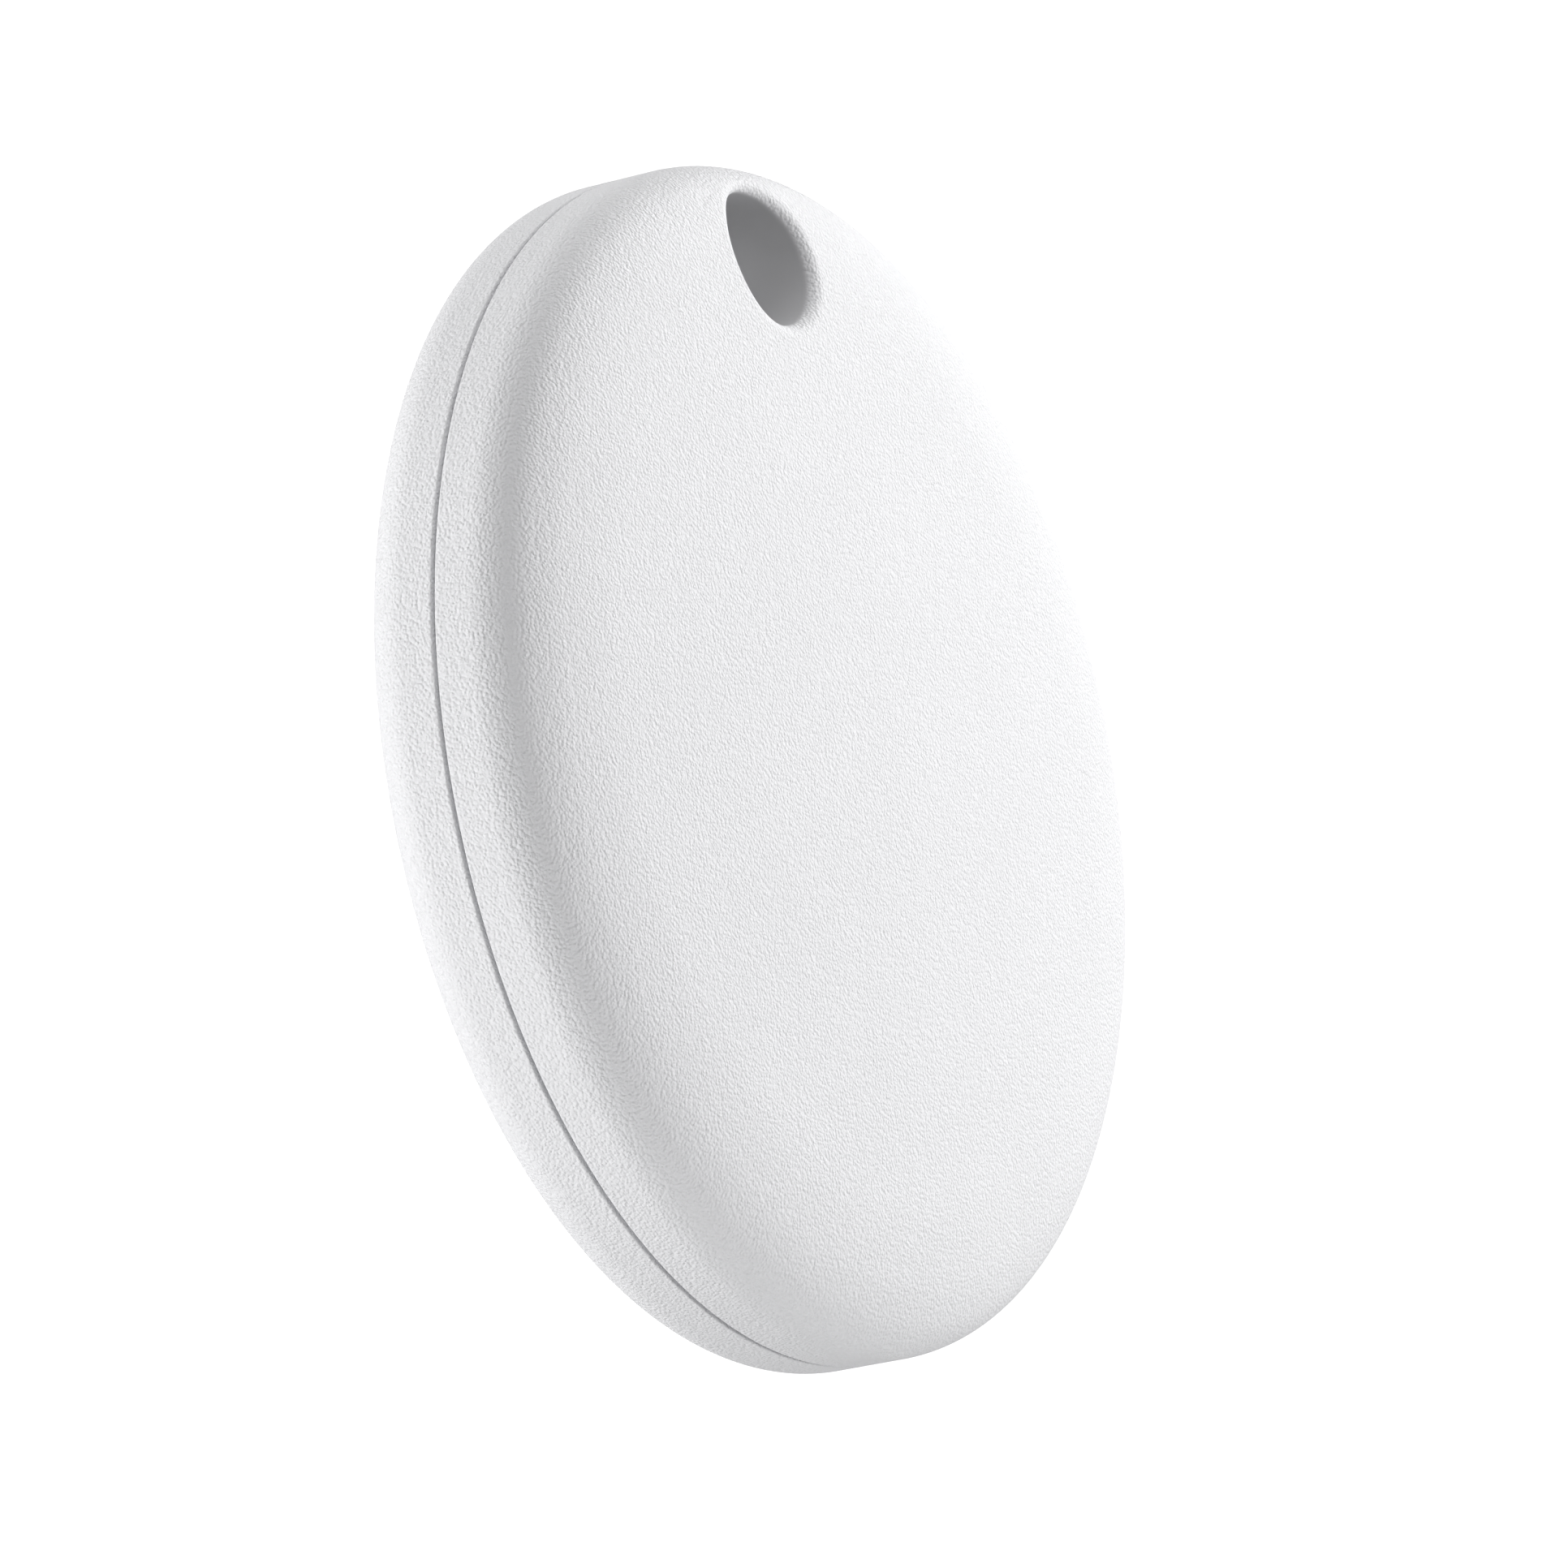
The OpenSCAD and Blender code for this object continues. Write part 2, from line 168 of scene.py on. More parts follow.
def from_faces(name, verts, faces):
    """An object of these points and faces, its faces turned outwards."""
    mesh = bpy.data.meshes.new(name)
    mesh.from_pydata(verts, [], faces)
    work = bmesh.new()
    work.from_mesh(mesh)
    bmesh.ops.recalc_face_normals(work, faces=work.faces)
    work.to_mesh(mesh)
    work.free()
    return new_object(name, mesh)


def apply_modifiers(piece):
    """Makes the object's evaluated shape its own mesh."""
    graph = bpy.context.evaluated_depsgraph_get()
    mesh = bpy.data.meshes.new_from_object(piece.evaluated_get(graph))
    piece.modifiers.clear()
    piece.data = mesh
    mesh.name = piece.name


def combine(piece, other, operation):
    """Cuts, fuses or intersects piece with other, which is used up."""
    modifier = piece.modifiers.new("Boolean", "BOOLEAN")
    modifier.operation = operation
    modifier.solver = "EXACT"
    modifier.object = other
    apply_modifiers(piece)
    bpy.data.objects.remove(other)
    return piece


def cut(piece, *others):
    for other in others:
        combine(piece, other, "DIFFERENCE")
    return piece


def fuse(piece, *others):
    for other in others:
        combine(piece, other, "UNION")
    return piece


def join(name, *parts):
    """One object that holds the meshes and materials of all the parts, which are used up."""
    work = bmesh.new()
    materials = []
    for part in parts:
        part.data.transform(part.matrix_world)
        first = len(work.faces)
        work.from_mesh(part.data)
        work.faces.ensure_lookup_table()
        slots = list(part.data.materials) or [None]
        for material in slots:
            if material not in materials:
                materials.append(material)
        for face in work.faces[first:]:
            face.material_index = materials.index(slots[min(face.material_index, len(slots) - 1)])
    mesh = bpy.data.meshes.new(name)
    work.to_mesh(mesh)
    work.free()
    for part in parts:
        bpy.data.objects.remove(part)
    for material in materials:
        if material is not None:
            mesh.materials.append(material)
    return new_object(name, mesh)


def round_edges(piece, width, segments=2, angle=35.0):
    """Rounds the edges that are sharper than angle."""
    modifier = piece.modifiers.new("Bevel", "BEVEL")
    modifier.width = width
    modifier.segments = segments
    modifier.limit_method = "ANGLE"
    modifier.angle_limit = math.radians(angle)
    apply_modifiers(piece)
    return piece


def place(piece, angle, distance=0.0, z=0.0, flip=False):
    """Moves a part made at the origin to its place; flip hangs it under z."""
    matrix = Matrix.Rotation(math.radians(angle), 4, "Z") @ Matrix.Translation((distance, 0, z))
    if flip:
        matrix = matrix @ Matrix.Rotation(math.pi, 4, "X")
    piece.data.transform(matrix)
    return piece


def from_rings(name, rings):
    """A closed surface through rings of points, the last of them joined to the first."""
    steps = len(rings[0])
    faces = []
    for low in range(len(rings)):
        high = (low + 1) % len(rings)
        for i in range(steps):
            j = (i + 1) % steps
            faces.append((low * steps + i, low * steps + j, high * steps + j, high * steps + i))
    return from_faces(name, [point for ring in rings for point in ring], faces)


def lathe(name, outline, steps=160, centre=(0.0, 0.0)):
    """Turns a closed outline of (radius, height) in millimetres about an upright axis."""
    verts, rows = [], []
    for radius, height in outline:
        points = 1 if radius < 1e-6 else steps
        row = [len(verts) + i for i in range(points)]
        for i in range(points):
            a = 2 * math.pi * i / steps
            verts.append(((centre[0] + radius * math.cos(a)) * MM,
                          (centre[1] + radius * math.sin(a)) * MM, height * MM))
        rows.append(row * (steps // points))
    faces = []
    for low, high in zip(rows, rows[1:] + rows[:1]):
        for i in range(steps):
            j = (i + 1) % steps
            face = tuple(dict.fromkeys((low[i], low[j], high[j], high[i])))
            if len(face) > 2:
                faces.append(face)
    return from_faces(name, verts, faces)


def post(name, radius, low, high, steps=96, centre=(0.0, 0.0)):
    """An upright cylinder between two heights, in millimetres."""
    return lathe(name, [(0, low), (radius, low), (radius, high), (0, high)], steps, centre)


def prism(name, outline, low, high):
    """An upright prism over a closed outline of (x, y), in millimetres."""
    count = len(outline)
    verts = [(x * MM, y * MM, z * MM) for z in (low, high) for x, y in outline]
    faces = [tuple(range(count)), tuple(range(count, 2 * count))]
    faces += [(i, (i + 1) % count, count + (i + 1) % count, count + i) for i in range(count)]
    return from_faces(name, verts, faces)


def slab(name, size, bevel=0.0, low=0.0, centre=(0.0, 0.0)):
    """A block that stands on height low, in millimetres, with its edges rounded by bevel."""
    x, y = size[0] / 2, size[1] / 2
    cx, cy = centre
    made = prism(name, [(cx - x, cy - y), (cx + x, cy - y), (cx + x, cy + y), (cx - x, cy + y)],
                 low, low + size[2])
    return round_edges(made, bevel * MM) if bevel else made


def plate_at(name, angle, outline, width):
    """A plate of one width whose outline is (distance from the axis, height)."""
    made = prism(name, outline, -width / 2, width / 2)
    made.data.transform(Matrix.Rotation(math.pi / 2, 4, "X"))
    return place(made, angle)


def block_at(name, angle, distance, size, low, high):
    made = slab(name, (size[0], size[1], high - low), low=low)
    return place(made, angle, distance * MM)


def rim_disc(name, radius, clear, low, high):
    """A disc that stays clear of the key-ring hole."""
    hole_at = bpy.context.scene.tag_shell.hole_at / MM
    made = post(name, radius, low, high, 256)
    return cut(made, post("clear", clear, low - 1, high + 1, 96, (0, hole_at)))


def rim_wall(name, outer, inner, hole_in, hole_out, low, high):
    """A wall that follows the rim and goes round the boss of the key-ring hole."""
    made = rim_disc(name, outer, hole_in, low, high)
    return cut(made, rim_disc("inside", inner, hole_out, low - 0.5, high + 0.5))


def islands(node):
    """[(distance, angle in degrees, height of the middle, size)] of each solid of a CAD node.

    The size is along the radius, across it and upwards.
    """
    work = bmesh.new()
    work.from_mesh(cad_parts[node].data)
    bmesh.ops.remove_doubles(work, verts=work.verts, dist=1e-7)
    seen, found = set(), []
    for first in work.verts:
        group, stack = [], [first]
        while stack:
            vert = stack.pop()
            if vert not in seen:
                seen.add(vert)
                group.append(vert)
                stack += [edge.other_vert(vert) for edge in vert.link_edges]
        if not group:
            continue
        middle = sum((v.co for v in group), Vector()) / len(group)
        angle = math.atan2(middle.y, middle.x)
        turned = [Matrix.Rotation(-angle, 3, "Z") @ v.co for v in group]
        size = [max(p[i] for p in turned) - min(p[i] for p in turned) for i in range(3)]
        found.append((middle.xy.length, math.degrees(angle), middle.z, size))
    work.free()
    return sorted(found, key=lambda item: (round(item[1], 3), round(item[0], 6)))


def hand_over(piece, body, node=None):
    """Shades a finished piece smooth, hangs it on the empty of its CAD body and hides the CAD node
    it stands for.
    """
    piece.data.shade_smooth()
    piece.data.set_sharp_from_angle(angle=math.radians(35))
    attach(piece, body)
    if node:
        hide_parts(node)
    return piece


def finish(piece, body, slot, node):
    """Coats a piece in one material and hands it over."""
    return hand_over(coat(piece, material(slot)), body, node)


def give_way(piece):
    """Gives the piece a mesh of its own."""
    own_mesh(piece)


def coat(piece, *materials):
    piece.data.materials.clear()
    for material in materials:
        piece.data.materials.append(material)
    return piece


# ---- What repeats ----

def repeat_tree():
    """Geometry Nodes: sets a part on every point, turned by the point's own turn attribute."""
    tree = bpy.data.node_groups.get("Repeat at places")
    if tree:
        return tree
    tree = bpy.data.node_groups.new("Repeat at places", "GeometryNodeTree")
    for name, way, kind in (("Places", "INPUT", "Geometry"), ("Part", "INPUT", "Object"),
                            ("Material", "INPUT", "Material"), ("Result", "OUTPUT", "Geometry")):
        tree.interface.new_socket(name, in_out=way, socket_type="NodeSocket" + kind)
    start, end, part, turns, turned, copies, real, coated = (tree.nodes.new(kind) for kind in (
        "NodeGroupInput", "NodeGroupOutput", "GeometryNodeObjectInfo",
        "GeometryNodeInputNamedAttribute", "FunctionNodeEulerToRotation",
        "GeometryNodeInstanceOnPoints", "GeometryNodeRealizeInstances",
        "GeometryNodeSetMaterial"))
    turns.data_type = "FLOAT_VECTOR"
    turns.inputs["Name"].default_value = "turn"
    for source, output, target, socket in (
            (start, "Part", part, "Object"), (turns, "Attribute", turned, "Euler"),
            (start, "Places", copies, "Points"), (part, "Geometry", copies, "Instance"),
            (turned, "Rotation", copies, "Rotation"), (copies, "Instances", real, "Geometry"),
            (real, "Geometry", coated, "Geometry"), (start, "Material", coated, "Material"),
            (coated, "Geometry", end, "Result")):
        tree.links.new(source.outputs[output], target.inputs[socket])
    return tree


def repeat(name, part, places, material):
    """Copies of part, which is used up, at places of (x, y, z, turn about Z, hangs below)."""
    mesh = bpy.data.meshes.new(name)
    mesh.from_pydata([place[:3] for place in places], [], [])
    turns = mesh.attributes.new("turn", "FLOAT_VECTOR", "POINT")
    for item, (*_, about, below) in zip(turns.data, places):
        item.vector = (math.pi if below else 0.0, 0.0, about)
    made = new_object(name, mesh)
    tree = repeat_tree()
    modifier = made.modifiers.new("Repeat", "NODES")
    modifier.node_group = tree
    values = {"Part": part, "Material": material}
    for item in tree.interface.items_tree:
        if item.name in values:
            modifier[item.identifier] = values[item.name]
    apply_modifiers(made)
    bpy.data.objects.remove(part)
    for attribute in [a for a in made.data.attributes if a.name == "turn"]:
        made.data.attributes.remove(attribute)
    return made


def on_ring(angle, distance, z, below=False, about=0.0):
    """A place at an angle in degrees and a distance in metres, faced outwards."""
    a = math.radians(angle)
    return (distance * math.cos(a), distance * math.sin(a), z, a + about, below)


# ---- Materials ----

class Finish:
    """A procedural material: a Principled shader and the textures that feed it."""

    def __init__(self, name, **sockets):
        self.material = bpy.data.materials.new(name)
        self.material.use_nodes = True
        self.tree = self.material.node_tree
        self.shader = self.tree.nodes["Principled BSDF"]
        self.where = self.tree.nodes.new("ShaderNodeTexCoord").outputs["Object"]
        self.normal = None
        for socket, value in sockets.items():
            self.shader.inputs[socket.replace("_", " ")].default_value = value

    def node(self, kind, inputs, **settings):
        made = self.tree.nodes.new(kind)
        for key, value in settings.items():
            setattr(made, key, value)
        for key, value in inputs.items():
            if isinstance(value, bpy.types.NodeSocket):
                self.tree.links.new(value, made.inputs[key])
            else:
                made.inputs[key].default_value = value
        return made

    def stretched(self, scale):
        """Object coordinates scaled by axis, for brushed and layered textures."""
        return self.node("ShaderNodeMapping", {"Vector": self.where, "Scale": scale}).outputs[0]

    def noise(self, size, detail=2.0, where=None):
        """Soft noise from 0 to 1 whose features are about size metres across."""
        return self.node("ShaderNodeTexNoise", {
            "Vector": where or self.where, "Scale": 1 / size, "Detail": detail}).outputs[0]

    def cells(self, size, smoothness=0.5):
        """Rounded cells about size metres across, low in the middle of each."""
        return self.node("ShaderNodeTexVoronoi", {
            "Vector": self.where, "Scale": 1 / size, "Smoothness": smoothness},
            feature="SMOOTH_F1").outputs["Distance"]

    def sum(self, one, other, operation="ADD"):
        made = self.node("ShaderNodeMath", {0: one, 1: other}, operation=operation)
        return made.outputs[0]

    def ramp(self, value, stops):
        """Maps a value to colours by (position, colour) stops."""
        ramp = self.node("ShaderNodeValToRGB", {"Fac": value})
        elements = ramp.color_ramp.elements
        while len(elements) < len(stops):
            elements.new(0.5)
        for element, (position, rgb) in zip(elements, stops):
            element.position = position
            element.color = (*rgb, 1.0)
        return ramp.outputs["Color"]

    def away_from_axis(self, y, inner, outer):
        """0 within inner of the upright line through (0, y), rising to 1 at outer."""
        flat = self.node("ShaderNodeVectorMath", {0: self.where, 1: (1.0, 1.0, 0.0)},
                         operation="MULTIPLY").outputs[0]
        gap = self.node("ShaderNodeVectorMath", {0: flat, 1: (0.0, y, 0.0)},
                        operation="DISTANCE").outputs["Value"]
        return self.node("ShaderNodeMapRange", {
            "Value": gap, "From Min": inner, "From Max": outer},
            interpolation_type="SMOOTHSTEP").outputs["Result"]

    def mixed_colour(self, value, low, high):
        """Base colour that goes from low to high as value goes from 0 to 1."""
        mix = self.node("ShaderNodeMix", {0: value, 6: (*low, 1.0), 7: high}, data_type="RGBA")
        self.tree.links.new(mix.outputs[2], self.shader.inputs["Base Color"])

    def colour(self, value, *stops):
        self.tree.links.new(self.ramp(value, stops), self.shader.inputs["Base Color"])

    def roughness(self, value, low, high):
        spread = self.node("ShaderNodeMapRange", {
            "Value": value, "To Min": low, "To Max": high})
        self.tree.links.new(spread.outputs["Result"], self.shader.inputs["Roughness"])

    def bump(self, height, depth, strength=1.0):
        """Adds relief of about depth metres where height goes from 0 to 1."""
        inputs = {"Height": height, "Distance": depth, "Strength": strength}
        if self.normal is not None:
            inputs["Normal"] = self.normal
        self.normal = self.node("ShaderNodeBump", inputs).outputs["Normal"]
        self.tree.links.new(self.normal, self.shader.inputs["Normal"])


def shade_of(rgb, factor):
    return tuple(min(1.0, channel * factor) for channel in rgb)


def cover_plastic(name, shell):
    """White moulded plastic with a fine leather-like grain; inside the hole it is smooth, and a
    painted shade darkens its colour.
    """
    made = Finish(name, IOR=1.46, Specular_IOR_Level=0.25)
    cells = made.cells(shell.grain)
    fine = made.noise(shell.grain * 0.6, 1.0)
    broad = made.noise(6 * MM, 2.0)
    # Painted shade: outside is 0 on the hole's wall, where the colour turns to the darker bore
    # colour, and 1 on the face.
    outside = made.away_from_axis(shell.hole_at, shell.hole, shell.hole + shell.lip * 0.15)
    skin = made.ramp(broad, ((0.3, shade_of(shell.plastic, 0.985)), (0.7, shell.plastic)))
    made.mixed_colour(outside, shell.bore_painted_shade, skin)
    made.roughness(fine, 0.5, 0.62)
    made.bump(cells, -shell.grain_depth, outside)
    made.bump(fine, shell.grain_depth * 0.5, outside)
    return made.material


def moulded(name, rgb, roughness=0.5, grain=0.12, depth=0.004, tone=0.8):
    """Plain moulded or pressed material with a light grain."""
    made = Finish(name)
    fine = made.noise(grain * MM, 3.0)
    made.colour(made.noise(1.5 * MM, 4.0), (0.3, shade_of(rgb, tone)), (0.7, rgb))
    made.roughness(fine, roughness - 0.08, roughness + 0.08)
    made.bump(fine, depth * MM)
    return made.material


def sheet_metal(name, rgb, roughness=0.28, stretch=(1, 12, 1)):
    """Rolled metal with fine drawn lines along one axis."""
    made = Finish(name, Metallic=1.0)
    lines = made.noise(0.3 * MM, 4.0, made.stretched(stretch))
    made.colour(made.noise(1.2 * MM, 3.0), (0.25, shade_of(rgb, 0.86)), (0.75, rgb))
    made.roughness(lines, roughness - 0.08, roughness + 0.12)
    made.bump(lines, 0.001 * MM)
    return made.material


def spun_metal(name, rgb, roughness=0.25):
    """Pressed and spun metal with fine rings about the upright axis."""
    made = Finish(name, Metallic=1.0)
    rings = made.node("ShaderNodeTexWave", {
        "Vector": made.where, "Scale": 900.0, "Distortion": 1.2, "Detail": 3.0,
        "Detail Scale": 2.0}, wave_type="RINGS", rings_direction="Z").outputs["Fac"]
    scuffs = made.noise(2.2 * MM, 3.0)
    made.colour(scuffs, (0.3, shade_of(rgb, 0.95)), (0.7, rgb))
    made.roughness(scuffs, roughness - 0.03, roughness + 0.06)
    made.bump(rings, 0.0012 * MM)
    return made.material


def solder_mask(name, rgb):
    """Green solder mask over copper tracks and pours, which show as lighter raised shapes."""
    made = Finish(name, Coat_Weight=0.35, Coat_Roughness=0.12)
    turned = made.node("ShaderNodeMapping", {
        "Vector": made.where, "Rotation": (0, 0, math.radians(45))}).outputs[0]
    bands = [made.node("ShaderNodeTexWave", {"Vector": where, "Scale": 520.0},
                       bands_direction=way).outputs["Fac"]
             for where, way in ((made.where, "X"), (turned, "Y"))]
    patches = made.node("ShaderNodeTexVoronoi", {
        "Vector": made.stretched((1, 1, 0)), "Scale": 320.0},
        feature="F1", distance="CHEBYCHEV").outputs["Color"]
    choice = made.node("ShaderNodeSeparateColor", {"Color": patches}).outputs
    first = made.sum(choice["Red"], 0.5, "GREATER_THAN")
    tracks = made.node("ShaderNodeMix", {0: first, 2: bands[0], 3: bands[1]}).outputs[0]
    raised = made.sum(tracks, 0.55, "GREATER_THAN")
    pour = made.sum(choice["Green"], 0.72, "GREATER_THAN")
    copper = made.sum(raised, pour, "MAXIMUM")
    made.colour(copper, (0.0, rgb), (1.0, shade_of(rgb, 1.7)))
    made.roughness(made.noise(0.4 * MM, 3.0), 0.28, 0.42)
    made.bump(copper, 0.012 * MM, 0.6)
    return made.material


def laminate(name, rgb):
    """The board's cut edge: glass fibre layers in resin."""
    made = Finish(name)
    layers = made.noise(0.12 * MM, 2.0, made.stretched((1, 1, 9)))
    made.colour(layers, (0.35, shade_of(rgb, 0.7)), (0.65, rgb))
    made.roughness(layers, 0.55, 0.8)
    made.bump(layers, 0.008 * MM)
    return made.material


def amber_film(name):
    """Thin clear adhesive film over the switch dome."""
    made = Finish(name, Transmission_Weight=0.6, IOR=1.5)
    bubbles = made.noise(0.5 * MM, 3.0)
    made.colour(bubbles, (0.3, (0.62, 0.42, 0.12)), (0.7, (0.78, 0.56, 0.20)))
    made.roughness(bubbles, 0.12, 0.3)
    made.bump(bubbles, 0.004 * MM)
    return made.material


def foam(name, rgb):
    """Foam or silicone: open soft cells and a dry surface."""
    made = Finish(name, Sheen_Weight=0.15)
    cells = made.cells(0.09 * MM, 0.3)
    made.colour(cells, (0.1, shade_of(rgb, 0.75)), (0.6, rgb))
    made.roughness(cells, 0.6, 0.85)
    made.bump(cells, 0.006 * MM)
    return made.material


def pressed_powder(name):
    """The cell's filling: dark pressed powder with pale separator fibres."""
    made = Finish(name)
    grains = made.noise(0.08 * MM, 6.0)
    made.colour(grains, (0.35, (0.02, 0.02, 0.022)), (0.75, (0.09, 0.09, 0.095)))
    made.roughness(grains, 0.7, 0.95)
    made.bump(grains, 0.02 * MM)
    return made.material


MATERIALS = {}


def material(name):
    """One of the tag's finishes, made when it is first asked for."""
    if name not in MATERIALS:
        shell, inside = bpy.context.scene.tag_shell, bpy.context.scene.tag_inside
        maker, *values = {
            "cover_plastic": (cover_plastic, shell),
            "chassis_plastic": (moulded, inside.chassis, 0.45, 0.2, 0.006),
            "silicone": (moulded, inside.seal, 0.62, 0.05, 0.002, 0.9),
            "solder_mask": (solder_mask, inside.mask),
            "laminate_edge": (laminate, inside.laminate),
            "epoxy": (moulded, (0.018, 0.018, 0.02), 0.55, 0.06, 0.003),
            "lead_frame": (sheet_metal, inside.tin, 0.34),
            "crystal_can": (sheet_metal, (0.66, 0.64, 0.60), 0.3),
            "base_ceramic": (moulded, (0.10, 0.07, 0.055), 0.6, 0.05, 0.002),
            "gold_track": (sheet_metal, inside.gold, 0.3, (1, 1, 1)),
            "capacitor_body": (moulded, (0.30, 0.17, 0.085), 0.42, 0.05),
            "resistor_body": (moulded, (0.02, 0.02, 0.024), 0.3, 0.05, 0.001),
            "solder": (sheet_metal, inside.tin, 0.22, (1, 1, 1)),
            "ferrite": (moulded, (0.035, 0.036, 0.040), 0.68, 0.07, 0.01, 0.6),
            "spring_metal": (sheet_metal, inside.gold, 0.24),
            "dome_steel": (spun_metal, (0.60, 0.60, 0.60), 0.2),
            "film": (amber_film,),
            "pad_white": (foam, (0.72, 0.72, 0.70)),
            "ceramic": (moulded, (0.58, 0.55, 0.44), 0.6, 0.05, 0.003, 0.9),
            "electrode": (spun_metal, (0.74, 0.74, 0.72), 0.42),
            "buzzer_brass": (spun_metal, (0.66, 0.43, 0.14), 0.24),
            "adhesive": (foam, (0.030, 0.030, 0.032)),
            "cell_steel": (spun_metal, inside.steel, 0.24),
            "cell_nylon": (moulded, (0.42, 0.42, 0.36), 0.5, 0.1, 0.003, 0.9),
            "cell_filling": (pressed_powder,),
        }[name]
        MATERIALS[name] = maker(name, *values)
    return MATERIALS[name]


# ---- Surfaces of the covers, all in millimetres ----

class Surface:
    """The outer surface of a cover, as arcs from the rim's rounding in to the middle.

    Each arc holds its radius, its centre's distance and height, and where it starts."""

    def __init__(self, shell, top, rim):
        self.hole, self.hole_at, self.lip = shell.hole / MM, shell.hole_at / MM, shell.lip / MM
        self.edge, self.steps, self.rim = shell.edge / MM, shell.steps, rim
        self.front = top > 0
        if self.front:
            self.round = shell.front_round / MM
            self.arcs = self.front_arcs(shell, top)
        else:
            self.round = shell.rear_round / MM
            self.arcs = self.rear_arcs(shell.rear_round_z / MM, shell.foot / MM)
        self.round_x, self.round_z = self.arcs[0][1:3]

    def front_arcs(self, shell, top):
        """Rounding, bend, shoulder and dome, each tangent to the one before."""
        slopes = (shell.bend_outer, shell.shoulder_outer, shell.shoulder_inner)
        radii = [self.round, shell.bend / MM, shell.shoulder / MM]
        centres = [self.rim - self.round]
        for slope, here, inner in zip(slopes, radii, radii[1:]):
            centres.append(centres[-1] + (here - inner) * math.sin(slope))
        radii.append(radii[-1] + centres[-1] / math.sin(slopes[-1]))
        centres.append(0.0)
        heights = [top - radii[-1]]
        for slope, here, outer in zip(slopes[::-1], radii[::-1], radii[-2::-1]):
            heights.insert(0, heights[0] + (here - outer) * math.cos(slope))
        starts = [centre + radius * math.sin(slope)
                  for centre, radius, slope in zip(centres, radii, slopes)] + [0.0]
        return list(zip(radii, centres, heights, starts))

    def rear_arcs(self, round_z, foot):
        """Rounding and one wide arc that meets the flat foot."""
        round_x = self.rim - self.round
        run = round_x - foot
        bend = (run ** 2 + round_z ** 2 - self.round ** 2) / (2 * (round_z - self.round))
        slope = math.asin(run / (bend - self.round))
        return [(self.round, round_x, round_z, round_x + self.round * math.sin(slope)),
                (bend, foot, bend, foot)]

    def height(self, distance):
        side = 1 if self.front else -1
        for radius, centre, level, start in self.arcs:
            if distance >= start:
                rise = math.sqrt(max(0.0, radius ** 2 - (distance - centre) ** 2))
                return level + side * rise
        return 0.0

    def ring(self, centre, radius, drop=0.0, height=None):
        """Points on a circle about (0, centre), on the surface or at a height of their own."""
        side = 1 if self.front else -1
        points = []
        for i in range(self.steps):
            a = 2 * math.pi * i / self.steps
            x, y = radius * math.cos(a), centre + radius * math.sin(a)
            z = self.height(math.hypot(x, y)) - side * drop if height is None else height
            points.append((x * MM, y * MM, z * MM))
        return points

    def skin(self, name, seam):
        """The closed outer skin, from the bore over the lip and the face to the rim's edge."""
        side = 1 if self.front else -1
        hole, lip = self.hole, self.lip
        rings = []
        bottom = self.ring(self.hole_at, hole, height=seam)
        lip_start = self.ring(self.hole_at, hole, drop=lip)
        for i in range(BORE_ROWS):
            rings.append([tuple(a + (b - a) * i / BORE_ROWS for a, b in zip(low, high))
                          for low, high in zip(bottom, lip_start)])
        for i in range(LIP_ROWS + 1):
            a = math.pi / 2 * i / LIP_ROWS
            rings.append(self.ring(self.hole_at, hole + lip * (1 - math.cos(a)),
                                   lip * (1 - math.sin(a))))
        around = hole + lip + GRID_MARGIN
        rings.append(self.ring(self.hole_at, around - GRID_MARGIN / 2))
        # Nested circles carry the grid from round the hole to round the whole tag
        near = (self.hole_at + around, self.rim - 0.4, self.rim - GRID_EDGE)
        far = (self.hole_at - around, -(self.round_x + 0.1), -(self.rim - GRID_EDGE))
        for part, count in ((0, FACE_ROWS), (1, RIM_ROWS)):
            for i in range(count):
                t = i / count
                if part == 0:
                    t = (1 - math.cos(math.pi * t)) / 2
                top = near[part] + (near[part + 1] - near[part]) * t
                low = far[part] + (far[part + 1] - far[part]) * t
                rings.append(self.ring((top + low) / 2, (top - low) / 2))
        start = math.asin((self.rim - GRID_EDGE - self.round_x) / self.round)
        for i in range(ROUND_ROWS + 1):
            a = start + (math.pi / 2 - start) * i / ROUND_ROWS
            rings.append(self.ring(0, self.round_x + self.round * math.sin(a),
                                   height=self.round_z + side * self.round * math.cos(a)))
        corner = seam + side * self.edge
        for t in (0.25, 0.5, 0.75, 0.96, 1.0):
            rings.append(self.ring(0, self.rim, height=self.round_z
                                   + (corner - self.round_z) * t))
        for i in range(1, EDGE_ROWS + 1):
            a = math.pi / 2 * i / EDGE_ROWS
            rings.append(self.ring(0, self.rim - self.edge * (1 - math.cos(a)),
                                   height=corner - side * self.edge * math.sin(a)))
        return from_rings(name, rings)


class Layout:
    """Heights and distances inside the tag, in millimetres."""

    def __init__(self):
        shell, inside = bpy.context.scene.tag_shell, bpy.context.scene.tag_inside
        self.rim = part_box("rear_cover")[1].x / MM
        self.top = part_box("front_cover")[1].z / MM
        self.seam = (SEAM + SEAM_GAP / 2, SEAM - SEAM_GAP / 2)
        self.wall = self.rim - shell.wall / MM
        self.hole_at, self.boss = shell.hole_at / MM, shell.boss / MM
        self.board = [corner.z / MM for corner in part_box("circuit_board")]
        self.hook_width = inside.hook_width / MM
        self.edge = inside.break_edge


def hollow(name, outline, boss_span, layout):
    """The space inside a cover, which goes round the boss of the key-ring hole."""
    made = lathe(name, outline, 192)
    return cut(made, post("boss", layout.boss, *boss_span, 96, (0, layout.hole_at)))


# ---- Covers ----

